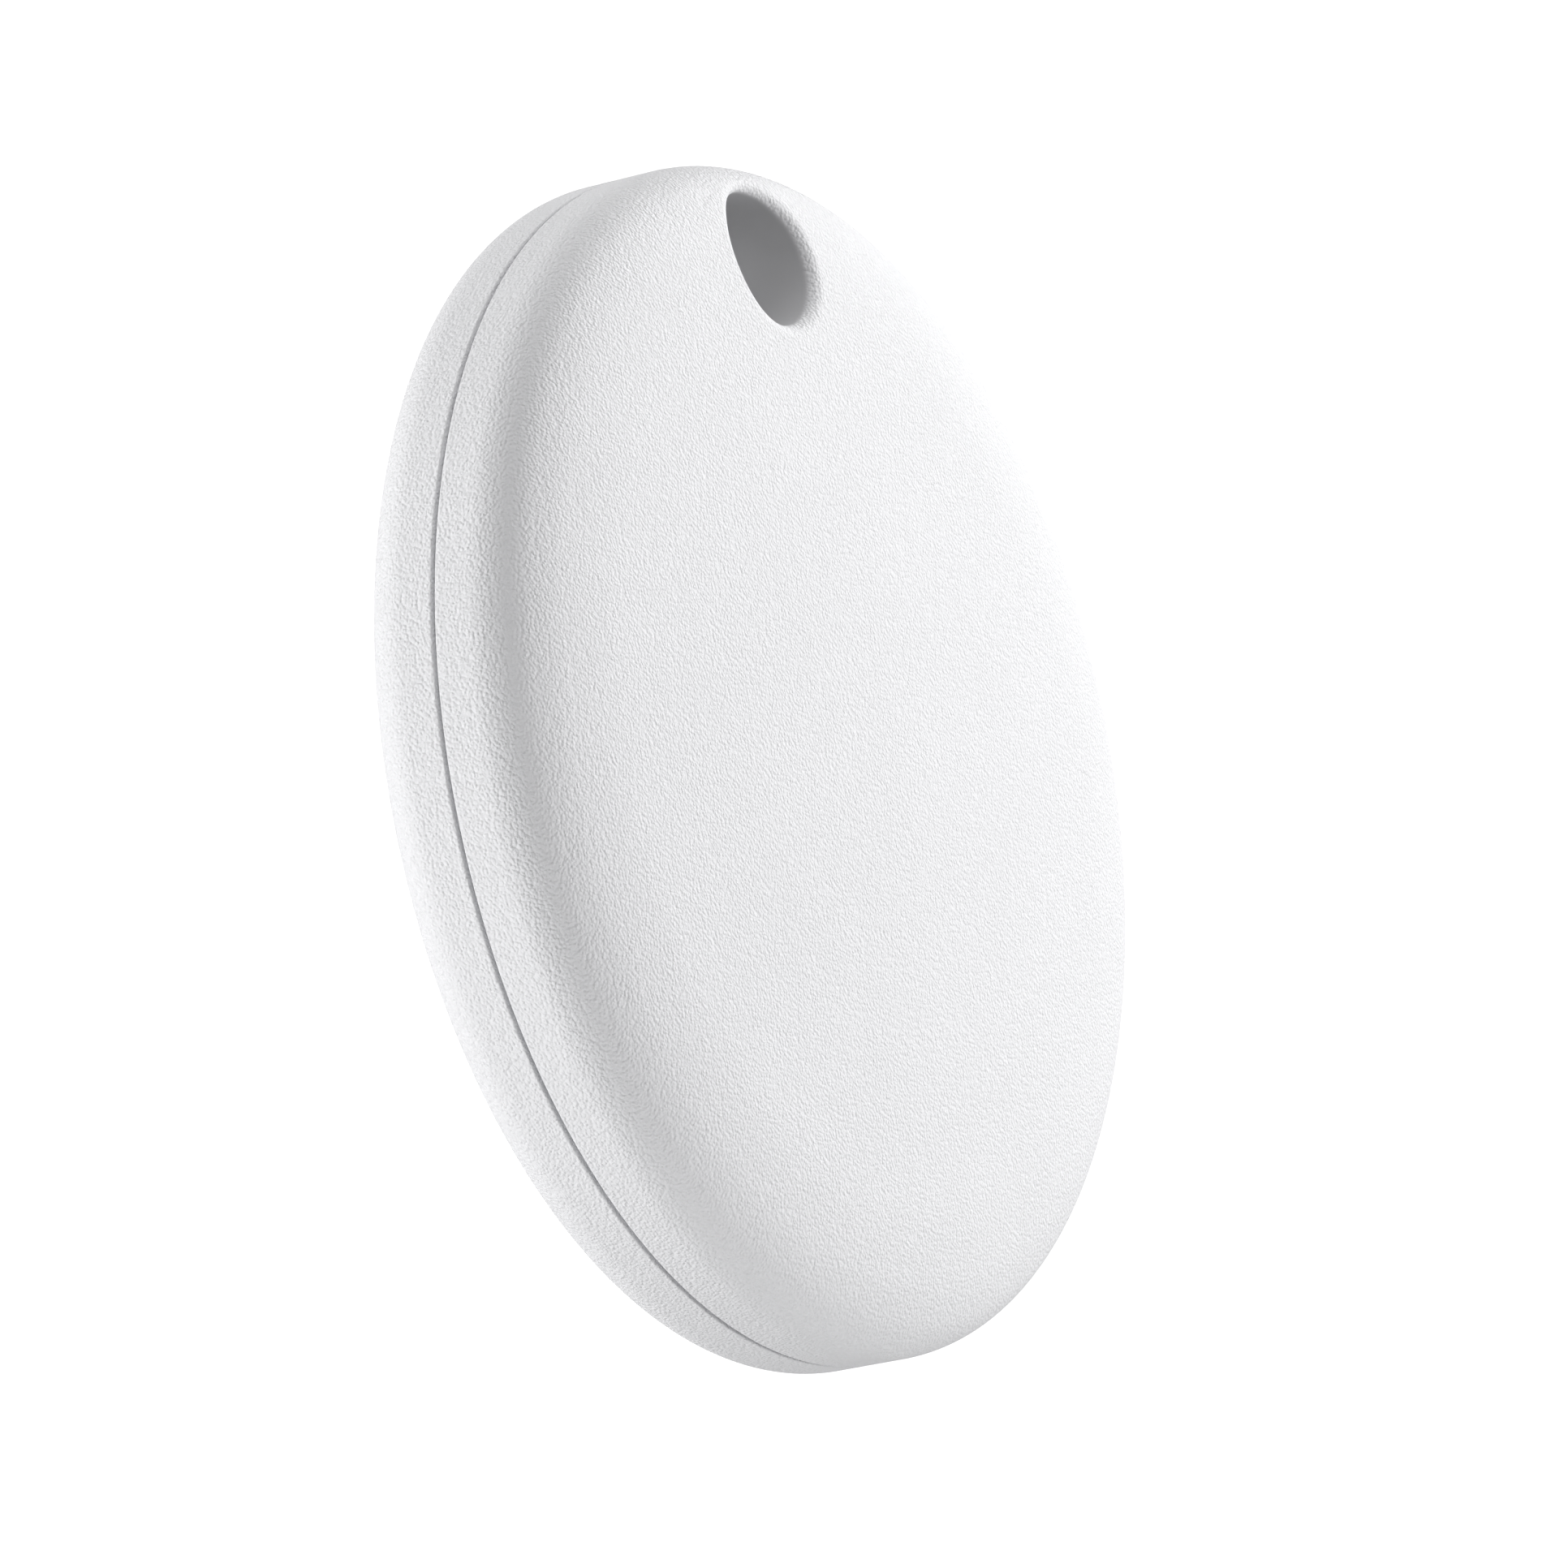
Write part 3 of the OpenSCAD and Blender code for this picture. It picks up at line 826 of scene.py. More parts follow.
class TAG_OT_front_cover(bpy.types.Operator):
    """Build the domed front cover with its boss, snap hooks and buzzer fence"""

    bl_idname = "tag.front_cover"
    bl_label = "Front cover"

    def execute(self, context):
        lay = Layout()
        seam = lay.seam[0]
        cover = Surface(context.scene.tag_shell, lay.top, lay.rim).skin("front_shell", seam)
        outline = [(0, seam - 1), (lay.wall, seam - 1), (lay.wall, 4.95), (lay.wall - 0.08, 5.14),
                   (lay.wall - 0.3, 5.29), (lay.wall - 0.6, 5.37), (16.6, 5.47), (14.8, 5.78),
                   (11, 6.08), (7.7, 6.22), (0, 6.22)]
        cut(cover, hollow("front_hollow", outline, (seam - 2, lay.top), lay))
        out, barb = HOOK_OUT, HOOK_OUT + BARB
        profile = [(HOOK_IN, 5.85), (out, 5.75), (out, 3.5), (barb, 3.5), (barb, 3.35),
                   (out + 0.1, 2.9), (HOOK_IN, 2.9)]
        parts = [round_edges(plate_at("hook", a, profile, lay.hook_width), lay.edge)
                 for a in FRONT_HOOKS]
        fence = lathe("fence", [(7.75, 5.95), (8.35, 5.95), (8.35, 6.3), (7.75, 6.3)], 192)
        parts.append(fence)
        fuse(cover, join("inner_parts", *parts))
        finish(cover, "front_cover", "cover_plastic", "front_cover")
        return {"FINISHED"}


class TAG_OT_rear_cover(bpy.types.Operator):
    """Build the rear cover with its boss, snap hooks, ribs and pry notch"""

    bl_idname = "tag.rear_cover"
    bl_label = "Rear cover"

    def execute(self, context):
        lay = Layout()
        seam = lay.seam[1]
        cover = Surface(context.scene.tag_shell, 0, lay.rim).skin("rear_shell", seam)
        outline = [(0, 1.0), (10.6, 1.0), (14, 1.42), (lay.wall - 0.6, 1.8),
                   (lay.wall - 0.25, 1.95), (lay.wall - 0.06, 2.18), (lay.wall, 2.45),
                   (lay.wall, seam + 1), (0, seam + 1)]
        cut(cover, hollow("rear_hollow", outline, (0, seam + 2), lay))
        notch = slab("notch", (2, 6, 1.6), low=seam - 0.6, centre=(lay.rim + 0.4, 0))
        cut(cover, round_edges(notch, 2 * lay.edge, 3))
        out, barb = HOOK_OUT, HOOK_OUT + BARB
        profile = [(HOOK_IN, 1.2), (out, 1.2), (out, 3.3), (barb, 3.3), (barb, 3.45),
                   (out + 0.1, 3.9), (HOOK_IN, 3.9)]
        parts = [round_edges(plate_at("hook", a, profile, lay.hook_width), lay.edge)
                 for a in REAR_HOOKS]
        rib = round_edges(slab("rib", (2.2, 0.6, 0.95), low=1.0), lay.edge)
        places = [on_ring(a, 13.6 * MM, 0) for a in RIBS]
        parts.append(repeat("ribs", rib, places, material("cover_plastic")))
        fuse(cover, join("inner_parts", *parts))
        finish(cover, "rear_cover", "cover_plastic", "rear_cover")
        return {"FINISHED"}


# ---- Chassis and seal ----

class TAG_OT_chassis(bpy.types.Operator):
    """Build the chassis: ring, seal groove, cell pocket, spokes, collar and heat stakes"""

    bl_idname = "tag.chassis"
    bl_label = "Chassis"

    def execute(self, context):
        lay = Layout()
        board, board_top = lay.board
        inner = HOOK_OUT + 0.1
        frame_ring = rim_wall("chassis_frame", lay.wall - 0.1, inner, lay.boss + COLLAR_GAP,
                              lay.boss + 1.6, 2.5, board)
        pocket = lathe("pocket", [(10.25, 1.2), (11.05, 1.2), (11.05, board - 0.05),
                                  (10.25, board - 0.05)], 192)
        cut(pocket, post("collar", lay.boss + COLLAR_GAP, 0, 6, 96, (0, lay.hole_at)))
        for a in CONTACTS_AT:
            cut(pocket, block_at("window", a, 10.25, (3, 3.1), 0.2, 3.8))
        fuse(frame_ring, pocket)
        for a in SPOKES:
            fuse(frame_ring, block_at("spoke", a, 13.575, (5.65, 2.5), 3.4, board))
        cut(frame_ring, rim_wall("groove", lay.wall + 0.9, lay.wall - SEAL_DEPTH, lay.boss - 1,
                                 lay.boss + SEAL_DEPTH + 0.02, 2.95, 4.05))
        for angles, low, high in ((REAR_HOOKS, 3.2, 4.0), (FRONT_HOOKS, 2.75, 3.6)):
            for a in angles:
                cut(frame_ring, block_at("recess", a, inner, (0.9, lay.hook_width + 0.4),
                                         low, high))
        round_edges(frame_ring, lay.edge * 0.6, 2, 45)
        stakes = []
        for a in SPOKES:
            profile = [(0, board - 0.2), (0.6, board - 0.2), (0.6, board_top),
                       (0.95, board_top), (0.93, board_top + 0.12), (0.84, board_top + 0.23),
                       (0.68, board_top + 0.31), (0.4, board_top + 0.35), (0, board_top + 0.35)]
            stakes.append(place(lathe("stake", profile, 48), a, STAKES_AT * MM))
        fuse(frame_ring, join("stakes", *stakes))
        finish(frame_ring, "housing", "chassis_plastic", "chassis")
        seal = rim_wall("perimeter_seal", lay.wall - 0.02, lay.wall - SEAL_DEPTH,
                        lay.boss + 0.02, lay.boss + SEAL_DEPTH, 2.97, 4.03)
        round_edges(seal, 0.14 * MM, 3, 45)
        finish(seal, "housing", "silicone", "seal_ring")
        return {"FINISHED"}


# ---- Circuit board ----

class TAG_OT_board(bpy.types.Operator):
    """Build the circuit board with its stitching vias, antenna and test pads"""

    bl_idname = "tag.board"
    bl_label = "Circuit board"

    def execute(self, context):
        lay = Layout()
        low, high = lay.board
        board = rim_disc("board", BOARD_RADIUS, lay.boss + 0.35, low, high)
        for a in FRONT_HOOKS:
            cut(board, block_at("slot", a, BOARD_RADIUS, (3.1, lay.hook_width + 0.4),
                                low - 1, high + 1))
        for a in SPOKES:
            cut(board, place(post("hole", 0.65, low - 1, high + 1, 48), a, STAKES_AT * MM))
        coat(board, material("solder_mask"), material("laminate_edge"))
        for face in board.data.polygons:
            face.material_index = 0 if abs(face.normal.z) > 0.5 else 1
        hand_over(board, "housing", "circuit_board")
        self.vias(lay)
        self.antenna(high)
        self.test_pads(low)
        return {"FINISHED"}

    def vias(self, lay):
        """Rows of plated holes that stitch the ground copper along the rim and the pocket."""
        low, high = lay.board
        skip = [(a, 8) for a in FRONT_HOOKS] + [(90, 16), (270, 28)]
        places = []
        for step in range(0, 360, 4):
            if any(abs((step - a + 180) % 360 - 180) < reach for a, reach in skip):
                continue
            places.append(on_ring(step, VIA_RINGS[0] * MM, low * MM, True))
            places.append(on_ring(step, VIA_RINGS[0] * MM, high * MM))
        for step in range(0, 360, 12):
            places.append(on_ring(step, VIA_RINGS[1] * MM, low * MM, True))
        eyelet = lathe("eyelet", [(0.1, -0.01), (0.24, -0.01), (0.24, 0.015), (0.1, 0.015)], 16)
        rings = repeat("via_rings", eyelet, places, material("gold_track"))
        hand_over(rings, "housing")

    def antenna(self, top):
        """Meandering copper track: radial fingers joined in turn at their ends."""
        fingers, step, width, thick = 14, 3.6, 0.35, 0.05
        ends = (14.95, 16.15)
        first = 270 - step * (fingers - 1) / 2
        radial = slab("finger", (ends[1] - ends[0] + width, width, thick))
        middle = sum(ends) / 2 * MM
        places = [on_ring(first + i * step, middle, top * MM) for i in range(fingers)]
        parts = [repeat("fingers", radial, places, material("gold_track"))]
        for side in (0, 1):
            across = slab("link", (width, ends[side] * math.sin(math.radians(step)), thick))
            places = [on_ring(first + (i + 0.5) * step, ends[side] * MM, top * MM)
                      for i in range(side, fingers - 1, 2)]
            parts.append(repeat("links", across, places, material("gold_track")))
        feed = slab("feed", (2.2, width, thick))
        parts.append(place(coat(feed, material("gold_track")), first, 13.9 * MM, top * MM))
        track = join("antenna_track", *parts)
        hand_over(track, "housing", "antenna")

    def test_pads(self, low):
        dish = [(0, 0), (0.5, 0), (0.5, 0.03), (0.46, 0.04), (0.14, 0.04), (0.1, 0.025),
                (0, 0.025)]
        places = [on_ring(angle, distance, low * MM, True)
                  for distance, angle, _, _ in islands("test_pads")]
        pads = repeat("test_points", lathe("pad", dish, 32), places, material("gold_track"))
        hand_over(pads, "housing", "test_pads")


# ---- Parts soldered to the board ----

def on_board(part, node, distance, angle, height):
    """Stands a part made at the origin on its side of the board."""
    low, high = Layout().board
    below = height < low * MM
    return place(part, angle, distance, (low if below else high) * MM, below)


def sizes_in_mm(size):
    return [extent / MM for extent in size]


def flat_package(size, pins_per_side):
    """A square leadless chip: body with a marking dimple and rows of pads round its foot."""
    x, y, z = size
    body = slab("body", (x, y, z - 0.04), 0.05, 0.04)
    dimple = lathe("dimple", [(0, z - 0.03), (0.2, z - 0.03), (0.24, z + 0.1), (0, z + 0.1)], 24,
                   (-x / 2 + 0.6, -y / 2 + 0.6))
    coat(cut(body, dimple), material("epoxy"))
    pad = slab("pad", (0.42, 0.24, 0.16))
    pitch, places = 0.4, []
    for side in range(4):
        about = side * math.pi / 2
        for i in range(pins_per_side):
            offset = (i - (pins_per_side - 1) / 2) * pitch
            reach = (x if side % 2 == 0 else y) / 2 - 0.16
            places.append(((reach * math.cos(about) - offset * math.sin(about)) * MM,
                           (reach * math.sin(about) + offset * math.cos(about)) * MM,
                           0, about, False))
    return join("chip", body, repeat("pads", pad, places, material("solder")))


def canned_crystal(size):
    """A ceramic base with a metal lid and four corner pads."""
    x, y, z = size
    base = coat(slab("base", (x, y, z * 0.55), 0.04, 0.03), material("base_ceramic"))
    lid = coat(slab("lid", (x - 0.35, y - 0.35, z * 0.45 - 0.03), 0.07, z * 0.55 + 0.03),
               material("crystal_can"))
    pad = slab("pad", (0.6, 0.5, 0.12))
    places = [(sx * (x / 2 - 0.24) * MM, sy * (y / 2 - 0.19) * MM, 0, 0, False)
              for sx in (-1, 1) for sy in (-1, 1)]
    return join("crystal", base, lid, repeat("pads", pad, places, material("solder")))


def chip_passive(size, body_material, end_share=0.26):
    """A chip capacitor or resistor: a body between two tinned ends with solder against them."""
    x, y, z = size
    end = x * end_share
    body = coat(slab("body", (x - end, y - 0.04, z - 0.04), 0.02, 0.02), body_material)
    cap = slab("cap", (end, y, z), 0.035, centre=(x / 2 - end / 2, 0))
    run = min(0.3, z * 0.6)
    fillet = [(x / 2 - 0.02, 0), (x / 2 + run, 0), (x / 2 + run * 0.35, z * 0.16),
              (x / 2 + run * 0.1, z * 0.4), (x / 2 - 0.02, z * 0.62)]
    joint = plate_at("joint", 0, fillet, y * 0.9)
    tinned = join("tinned", cap, joint)
    ends = repeat("ends", tinned, [(0, 0, 0, 0, False), (0, 0, 0, math.pi, False)],
                  material("solder"))
    return join("passive", body, ends)


def power_inductor(size):
    """A square ferrite with a round waist of wire between its flanges."""
    x, y, z = size
    flange = z * 0.24
    low = slab("low", (x, y, flange), 0.12, 0.04)
    high = slab("high", (x, y, flange), 0.12, z - flange)
    core = join("core", low, high)
    coat(core, material("ferrite"))
    waist, turns = x / 2 - 0.22, 5
    wire = (z - 2 * flange - 0.04) / turns
    outline = [(0, flange + 0.03)]
    for i in range(turns):
        middle = flange + 0.04 + wire * (i + 0.5)
        for a in (-60, -20, 20, 60):
            outline.append((waist + wire / 2 * math.cos(math.radians(a)),
                            middle + wire / 2 * math.sin(math.radians(a))))
    outline.append((0, z - flange + 0.01))
    winding = coat(lathe("winding", outline, 64), material("gold_track"))
    pad = slab("pad", (0.7, y * 0.8, 0.1), centre=(x / 2 - 0.35, 0))
    pads = repeat("pads", pad, [(0, 0, 0, 0, False), (0, 0, 0, math.pi, False)],
                  material("solder"))
    return join("inductor", core, winding, pads)


def small_transistor(size):
    """A three-legged package with bent leads."""
    x, y, z = size
    body = coat(slab("body", (x - 0.35, y, z - 0.08), 0.06, 0.08), material("epoxy"))
    reach = x / 2
    lead = [(reach - 0.3, 0.42), (reach - 0.12, 0.42), (reach - 0.06, 0.1), (reach + 0.3, 0.1),
            (reach + 0.3, 0), (reach - 0.14, 0), (reach - 0.2, 0.32), (reach - 0.3, 0.32)]
    places = [(0, 0.95 * MM, 0, 0, False), (0, -0.95 * MM, 0, 0, False), (0, 0, 0, math.pi, False)]
    leads = repeat("leads", plate_at("lead", 0, lead, 0.4), places, material("lead_frame"))
    return join("transistor", body, leads)


class TAG_OT_chips(bpy.types.Operator):
    """Build the chip, crystals, inductor, transistor and the chip capacitors and resistors"""

    bl_idname = "tag.chips"
    bl_label = "Board parts"

    def execute(self, context):
        single = {
            "bluetooth_chip": ("radio_chip", "epoxy", lambda size: flat_package(size, 8)),
            "main_crystal": ("reference_crystal", "crystal_can", canned_crystal),
            "timing_crystal": ("clock_crystal", "crystal_can", canned_crystal),
            "inductor": ("boost_inductor", "ferrite", power_inductor),
            "reserve_capacitor": ("bulk_capacitor", "capacitor_body",
                                  lambda size: chip_passive(size, material("capacitor_body"))),
            "buzzer_driver": ("driver_transistor", "epoxy", small_transistor),
        }
        for node, (name, slot, maker) in single.items():
            distance, angle, height, size = islands(node)[0]
            part = on_board(maker(sizes_in_mm(size)), node, distance, angle, height)
            part.name = part.data.name = name
            hand_over(part, "housing", node)
        for kind in ("capacitor", "resistor"):
            node, slot = kind + "s", kind + "_body"
            parts = [on_board(chip_passive(sizes_in_mm(size), material(slot)), node,
                              distance, angle, height)
                     for distance, angle, height, size in islands(node)]
            hand_over(join("chip_" + node, *parts), "housing", node)
        return {"FINISHED"}


# ---- Contacts, switch and buzzer ----

class TAG_OT_contacts(bpy.types.Operator):
    """Build the cell contacts and the two spring contacts of the buzzer"""

    bl_idname = "tag.contacts"
    bl_label = "Contacts"

    def execute(self, context):
        low, high = Layout().board
        leaf = [(13.6, low), (11.65, low), (11.65, 1.95), (10.17, 2.75), (10.17, 3.15),
                (10.45, 3.5), (10.35, 3.58), (10.02, 3.2), (10.02, 2.66), (11.68, 1.75),
                (11.8, 1.85), (11.8, low - 0.15), (13.6, low - 0.15)]
        parts = []
        for a in CONTACTS_AT:
            part = plate_at("leaf", a, leaf, 2.5)
            cut(part, block_at("slit", a, 10.9, (2.2, 0.35), 1.0, 3.9))
            parts.append(round_edges(part, 0.03 * MM))
        finish(join("positive_leaves", *parts), "housing", "spring_metal", "positive_contacts")
        arm = [(1, low), (1, low - 0.12), (2.2, low - 0.12), (5.6, 4.27), (6.0, 4.27),
               (6.0, 4.36), (5.65, 4.37), (2.3, low)]
        negative = post("negative_star", 2.4, low - 0.12, low, 64)
        for a in (90, 210, 330):
            fuse(negative, plate_at("arm", a, arm, 1.8))
        round_edges(negative, 0.03 * MM, 2, 45)
        finish(negative, "housing", "spring_metal", "negative_contact")
        springs = {
            "plate_spring": (0, [(5.9, high), (8.6, high), (8.7, 5.3), (6.9, 5.99), (6.5, 5.99),
                                 (6.5, 5.91), (6.8, 5.9), (8.2, 5.3), (5.9, 5.3)]),
            "ceramic_spring": (180, [(2.6, high), (4.6, high), (4.7, 5.3), (3.0, 5.86),
                                     (2.7, 5.86), (2.7, 5.78), (2.95, 5.77), (4.3, 5.3),
                                     (2.6, 5.3)]),
        }
        for node, (a, outline) in springs.items():
            spring = round_edges(plate_at(node + "_leaf", a, outline, 1.2), 0.02 * MM)
            finish(spring, "housing", "spring_metal", node)
            give_way(spring)
        return {"FINISHED"}


class TAG_OT_switch(bpy.types.Operator):
    """Build the switch: base with four feet, snap dome, film and the actuator pad"""

    bl_idname = "tag.switch"
    bl_label = "Switch"

    def execute(self, context):
        low, high = (corner / MM for corner in (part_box("switch_base")[0].z,
                                                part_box("switch_base")[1].z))
        width = 2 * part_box("switch_base")[1].x / MM
        base = coat(slab("base", (width, width, high - low), 0.05, low), material("epoxy"))
        foot = slab("foot", (0.7, 0.6, 0.12), 0.02)
        places = [(sx * 1.7 * MM, sy * 1.4 * MM, low * MM, 0, False)
                  for sx in (-1, 1) for sy in (-1, 1)]
        feet = repeat("feet", foot, places, material("lead_frame"))
        hand_over(join("switch_seat", base, feet), "housing", "switch_base")
        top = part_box("switch_dome")[1].z / MM
        outer = self.arch(1.75, high, top, 12)
        inner = self.arch(1.69, high, top - 0.06, 12)
        dome = lathe("snap_dome", outer + inner[::-1], 96)
        finish(dome, "housing", "dome_steel", "switch_dome")
        give_way(dome)
        film = slab("dome_film", (width - 0.2, width - 0.2, 0.06), low=high)
        cut(film, post("opening", 1.8, high - 1, high + 1))
        finish(film, "housing", "film", "switch_film")
        low, high = (corner.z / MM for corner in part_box("actuator_pad"))
        outline = [(0, low), (1.12, low), (1.18, low + 0.03), (1.2, low + 0.08), (1.2, high),
                   (0, high)]
        finish(lathe("press_pad", outline, 64), "front_cover", "pad_white", "actuator_pad")
        return {"FINISHED"}

    def arch(self, radius, low, high, steps):
        """Half the section of a snap dome, steep at its foot and flat in the middle."""
        points = []
        for i in range(steps + 1):
            a = math.pi / 2 * i / steps
            points.append((radius * math.cos(a) ** 0.8 if i < steps else 0.0,
                           low + (high - low) * math.sin(a)))
        return points


class TAG_OT_buzzer(bpy.types.Operator):
    """Build the piezo buzzer: ceramic with its silver face, brass plate and adhesive ring"""

    bl_idname = "tag.buzzer"
    bl_label = "Buzzer"

    def execute(self, context):
        low, high = (corner.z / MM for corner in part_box("piezo_ceramic"))
        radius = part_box("piezo_ceramic")[1].x / MM
        ceramic = coat(lathe("ceramic", self.disc(radius, low + 0.012, high, 0.02), 128),
                       material("ceramic"))
        silver = coat(lathe("silver", self.disc(radius - 0.45, low, low + 0.012, 0.004), 128),
                      material("electrode"))
        hand_over(join("buzzer_ceramic", ceramic, silver), "front_cover",
                  "piezo_ceramic")
        low, high = (corner.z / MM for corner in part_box("piezo_plate"))
        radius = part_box("piezo_plate")[1].x / MM
        plate = lathe("buzzer_plate", self.disc(radius, low, high, 0.03))
        finish(plate, "front_cover", "buzzer_brass", "piezo_plate")
        low, high = (corner.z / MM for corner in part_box("piezo_adhesive"))
        outline = [(radius - 1.1, low), (radius - 0.02, low), (radius, (low + high) / 2),
                   (radius - 0.02, high), (radius - 1.1, high), (radius - 1.12, (low + high) / 2)]
        finish(lathe("adhesive_ring", outline), "front_cover", "adhesive", "piezo_adhesive")
        return {"FINISHED"}

    def disc(self, radius, low, high, edge):
        return [(0, low), (radius - edge, low), (radius, low + edge), (radius, high - edge),
                (radius - edge, high), (0, high)]


# ---- Coin cell ----

def corner_arc(x, z, radius, start, end, steps=5):
    """Points of an arc in a section, angles in degrees from the outward direction."""
    angles = [math.radians(start + (end - start) * i / steps) for i in range(steps + 1)]
    return [(x + radius * math.cos(a), z + radius * math.sin(a)) for a in angles]


class TAG_OT_cell(bpy.types.Operator):
    """Build the coin cell: can with its plus mark, gasket, cap and filling"""

    bl_idname = "tag.cell"
    bl_label = "Coin cell"

    def execute(self, context):
        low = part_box("cell_can")[0].z / MM
        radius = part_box("cell_can")[1].x / MM
        outline = ([(0, 0), (radius - 0.9, 0)] + corner_arc(radius - 0.22, 0.22, 0.22, -90, 0)
                   + corner_arc(radius - 0.3, 2.68, 0.3, 0, 72) + [(9.2, 3.05), (9.15, 2.9),
                   (9.65, 2.8), (9.75, 2.65), (9.75, 0.3), (9.65, 0.25), (0, 0.25)])
        can = self.turned("can", outline, low)
        for size in ((3.4, 0.8), (0.8, 3.4)):
            cut(can, slab("stroke", (*size, 0.2), low=low - 0.16))
        finish(can, "coin_cell", "cell_steel", "cell_can")
        gasket = self.turned("grommet", [(9.3, 0.3), (9.73, 0.3), (9.73, 2.63), (9.62, 2.75),
                             (9.13, 2.85), (9.05, 2.85), (9.05, 2.67), (9.3, 2.57)], low)
        finish(gasket, "coin_cell", "cell_nylon", "cell_gasket")
        outline = ([(0, 3.2)] + [(8.6, 3.2)] + corner_arc(8.75, 2.98, 0.22, 90, 0)
                   + [(8.97, 2.6), (9.02, 2.5), (9.26, 2.44), (9.26, 0.45), (9.06, 0.45),
                      (9.06, 2.3), (8.77, 2.43), (8.77, 2.9), (8.65, 3.0), (0, 3.0)])
        cap = self.turned("cap", outline, low)
        finish(cap, "coin_cell", "cell_steel", "cell_cap")
        core = self.turned("filling", [(0, 0.27), (8.94, 0.27), (9.0, 0.33), (9.0, 1.18),
                           (8.94, 1.24), (8.94, 1.32), (9.0, 1.38), (9.0, 2.25), (8.72, 2.39),
                           (8.72, 2.85), (8.6, 2.98), (0, 2.98)], low)
        finish(core, "coin_cell", "cell_filling", "cell_core")
        return {"FINISHED"}

    def turned(self, name, outline, low):
        return lathe(name, [(x, z + low) for x, z in outline], 224)


# ---- Stage ----

FLOOR_GLOW = 1.05
FLOOR_SIZE = 12.0                       # metres
BACKGROUND = 1.1                        # strength of the sky as the camera sees it
LAMP_DISTANCE = 0.35                    # metres from the tag
LAMP_SIZE = 0.22                        # length of each lamp's sides, in metres
# name: (direction from the tag, power in watts)
LAMPS = {
    "face_key": ((0.494, -0.164, 0.854), 0.802),
    "face_back": ((0.886, 0.265, 0.382), 0.343),
    "face_upper": ((0.727, 0.574, 0.377), 0.241),
    "top_lamp": ((-0.061, 0.973, 0.222), 0.311),
    "rim_key": ((-0.702, 0.138, -0.699), 0.469),
    "rim_lower": ((-0.727, -0.574, -0.377), 0.666),
    "rear_upper": ((-0.137, 0.648, -0.749), 0.324),
}


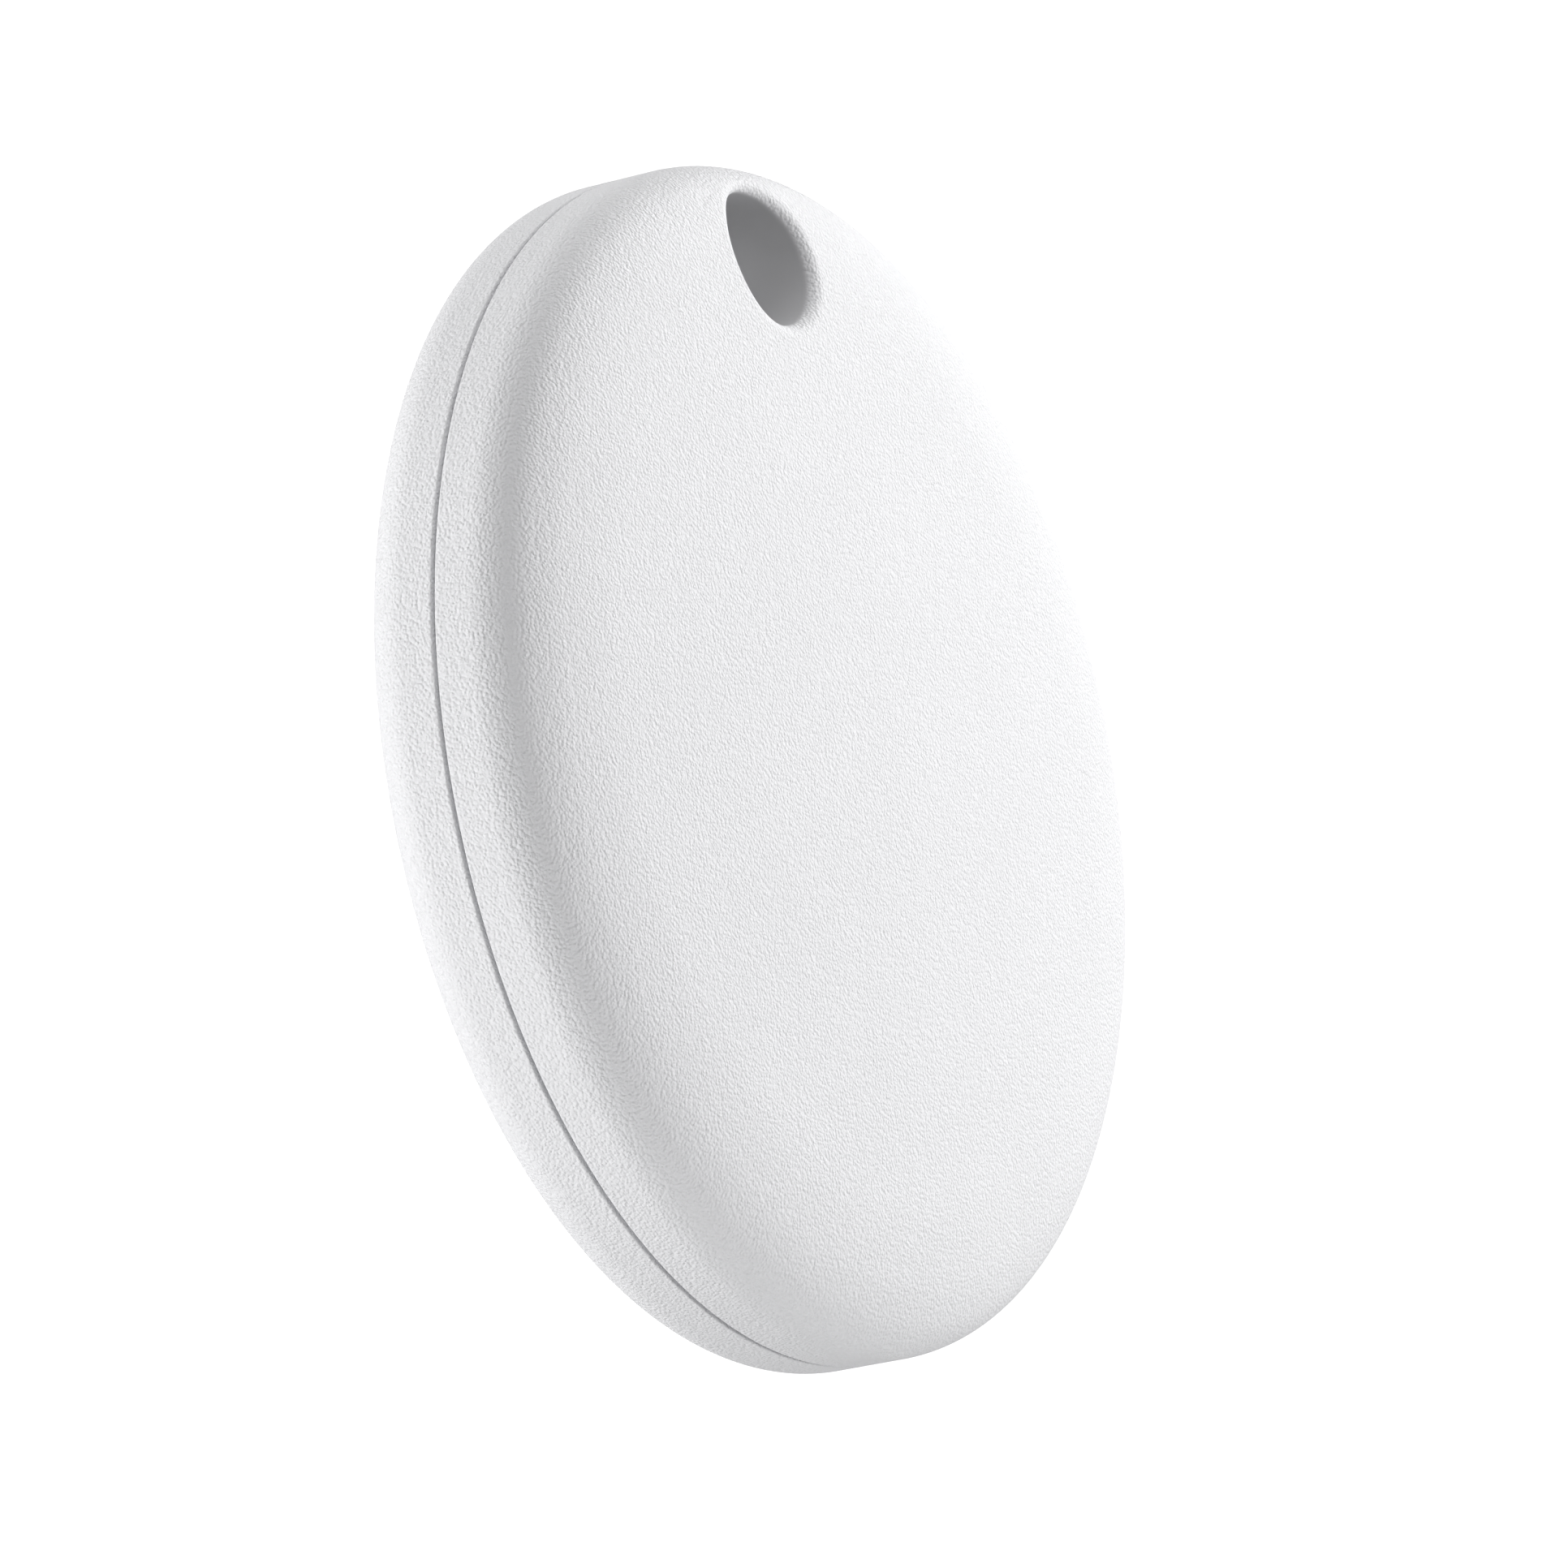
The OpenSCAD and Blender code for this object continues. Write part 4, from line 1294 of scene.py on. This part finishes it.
class TAG_OT_stage(bpy.types.Operator):
    """Build the floor, the soft lamps and the camera"""

    bl_idname = "tag.stage"
    bl_label = "Stage"

    def execute(self, context):
        stage = context.scene.tag_stage
        half = FLOOR_SIZE / 2
        floor = from_faces("floor", [(x * half, y * half, -stage.drop) for x, y in
                                     ((-1, -1), (1, -1), (1, 1), (-1, 1))], [(0, 1, 2, 3)])
        floor.data.materials.append(self.pale_floor())
        floor.visible_diffuse = floor.visible_glossy = False
        self.sky(context.scene, stage)
        for name, (direction, power) in LAMPS.items():
            self.lamp(name, direction, power)
        self.camera(context.scene, stage)
        context.scene.view_settings.view_transform = "Standard"
        return {"FINISHED"}

    def pale_floor(self):
        made = Finish("pale_floor", Emission_Strength=FLOOR_GLOW,
                      Emission_Color=(1.0, 1.0, 1.0, 1.0))
        tone = made.noise(0.4, 2.0)
        made.colour(tone, (0.3, (0.80, 0.80, 0.80)), (0.7, (0.82, 0.82, 0.82)))
        made.roughness(tone, 0.7, 0.9)
        return made.material

    def sky(self, scene, stage):
        scene.world = bpy.data.worlds.new("sky")
        scene.world.use_nodes = True
        nodes, links = scene.world.node_tree.nodes, scene.world.node_tree.links
        mix = nodes.new("ShaderNodeMixShader")
        links.new(nodes.new("ShaderNodeLightPath").outputs["Is Camera Ray"], mix.inputs[0])
        lights = (nodes["Background"], nodes.new("ShaderNodeBackground"))
        for i, strength in enumerate((stage.ambient, BACKGROUND)):
            lights[i].inputs["Strength"].default_value = strength
            lights[i].inputs["Color"].default_value = (1.0, 1.0, 1.0, 1.0)
            links.new(lights[i].outputs[0], mix.inputs[i + 1])
        links.new(mix.outputs[0], nodes["World Output"].inputs["Surface"])

    def lamp(self, name, direction, power):
        """A square soft lamp that looks at the middle of the tag."""
        data = bpy.data.lights.new(name, "AREA")
        data.shape, data.size, data.energy = "SQUARE", LAMP_SIZE, power
        lamp = new_object(name, data)
        lamp.visible_camera = False
        way = Vector(direction).normalized()
        lamp.location = way * LAMP_DISTANCE
        lamp.rotation_mode = "QUATERNION"
        lamp.rotation_quaternion = way.to_track_quat("Z", "Y")

    def camera(self, scene, stage):
        back = Vector((math.sin(stage.azimuth) * math.cos(stage.elevation),
                       -math.cos(stage.azimuth) * math.cos(stage.elevation),
                       math.sin(stage.elevation)))
        level = Vector((math.cos(stage.azimuth), math.sin(stage.azimuth), 0))
        upright = back.cross(level)
        right = math.cos(stage.roll) * level + math.sin(stage.roll) * upright
        up = back.cross(right)
        data = bpy.data.cameras.new("camera")
        data.lens, data.sensor_width = stage.lens, 36.0
        data.clip_start, data.clip_end = 0.01, 30.0
        camera = new_object("camera", data)
        camera.rotation_mode = "QUATERNION"
        camera.rotation_quaternion = Matrix((right, up, back)).transposed().to_quaternion()
        middle = Vector((0, 0, sum(Layout().seam) / 2 * MM))
        camera.location = (middle + back * stage.distance + right * stage.offset_x
                           + up * stage.offset_y)
        scene.camera = camera


# ---- Panel and registration ----

PIECES = ("stage", "front_cover", "rear_cover", "chassis", "board", "chips", "contacts",
          "switch", "buzzer", "cell")


class TAG_PT_panel(bpy.types.Panel):
    """Sizes, colours and build steps of the tracker tag"""

    bl_idname = "TAG_PT_panel"
    bl_label = "Tracker tag"
    bl_space_type = "VIEW_3D"
    bl_region_type = "UI"
    bl_category = "Tracker tag"

    def draw(self, context):
        layout = self.layout
        for group in (context.scene.tag_shell, context.scene.tag_inside,
                      context.scene.tag_stage):
            box = layout.box()
            for name in group.__annotations__:
                box.prop(group, name)
        for piece in PIECES:
            layout.operator("tag." + piece)


GROUPS = {"tag_shell": TagShell, "tag_inside": TagInside, "tag_stage": TagStage}
OPERATORS = (TAG_OT_stage, TAG_OT_front_cover, TAG_OT_rear_cover, TAG_OT_chassis, TAG_OT_board,
             TAG_OT_chips, TAG_OT_contacts, TAG_OT_switch, TAG_OT_buzzer, TAG_OT_cell)


def register():
    for cls in (*GROUPS.values(), *OPERATORS, TAG_PT_panel):
        bpy.utils.register_class(cls)
    for name, group in GROUPS.items():
        setattr(bpy.types.Scene, name, PointerProperty(type=group))


def unregister():
    for name in GROUPS:
        delattr(bpy.types.Scene, name)
    for cls in (TAG_PT_panel, *reversed(OPERATORS), *reversed(GROUPS.values())):
        bpy.utils.unregister_class(cls)


def main():
    register()
    for piece in PIECES:
        getattr(bpy.ops.tag, piece)()


if __name__ == "__main__":
    main()
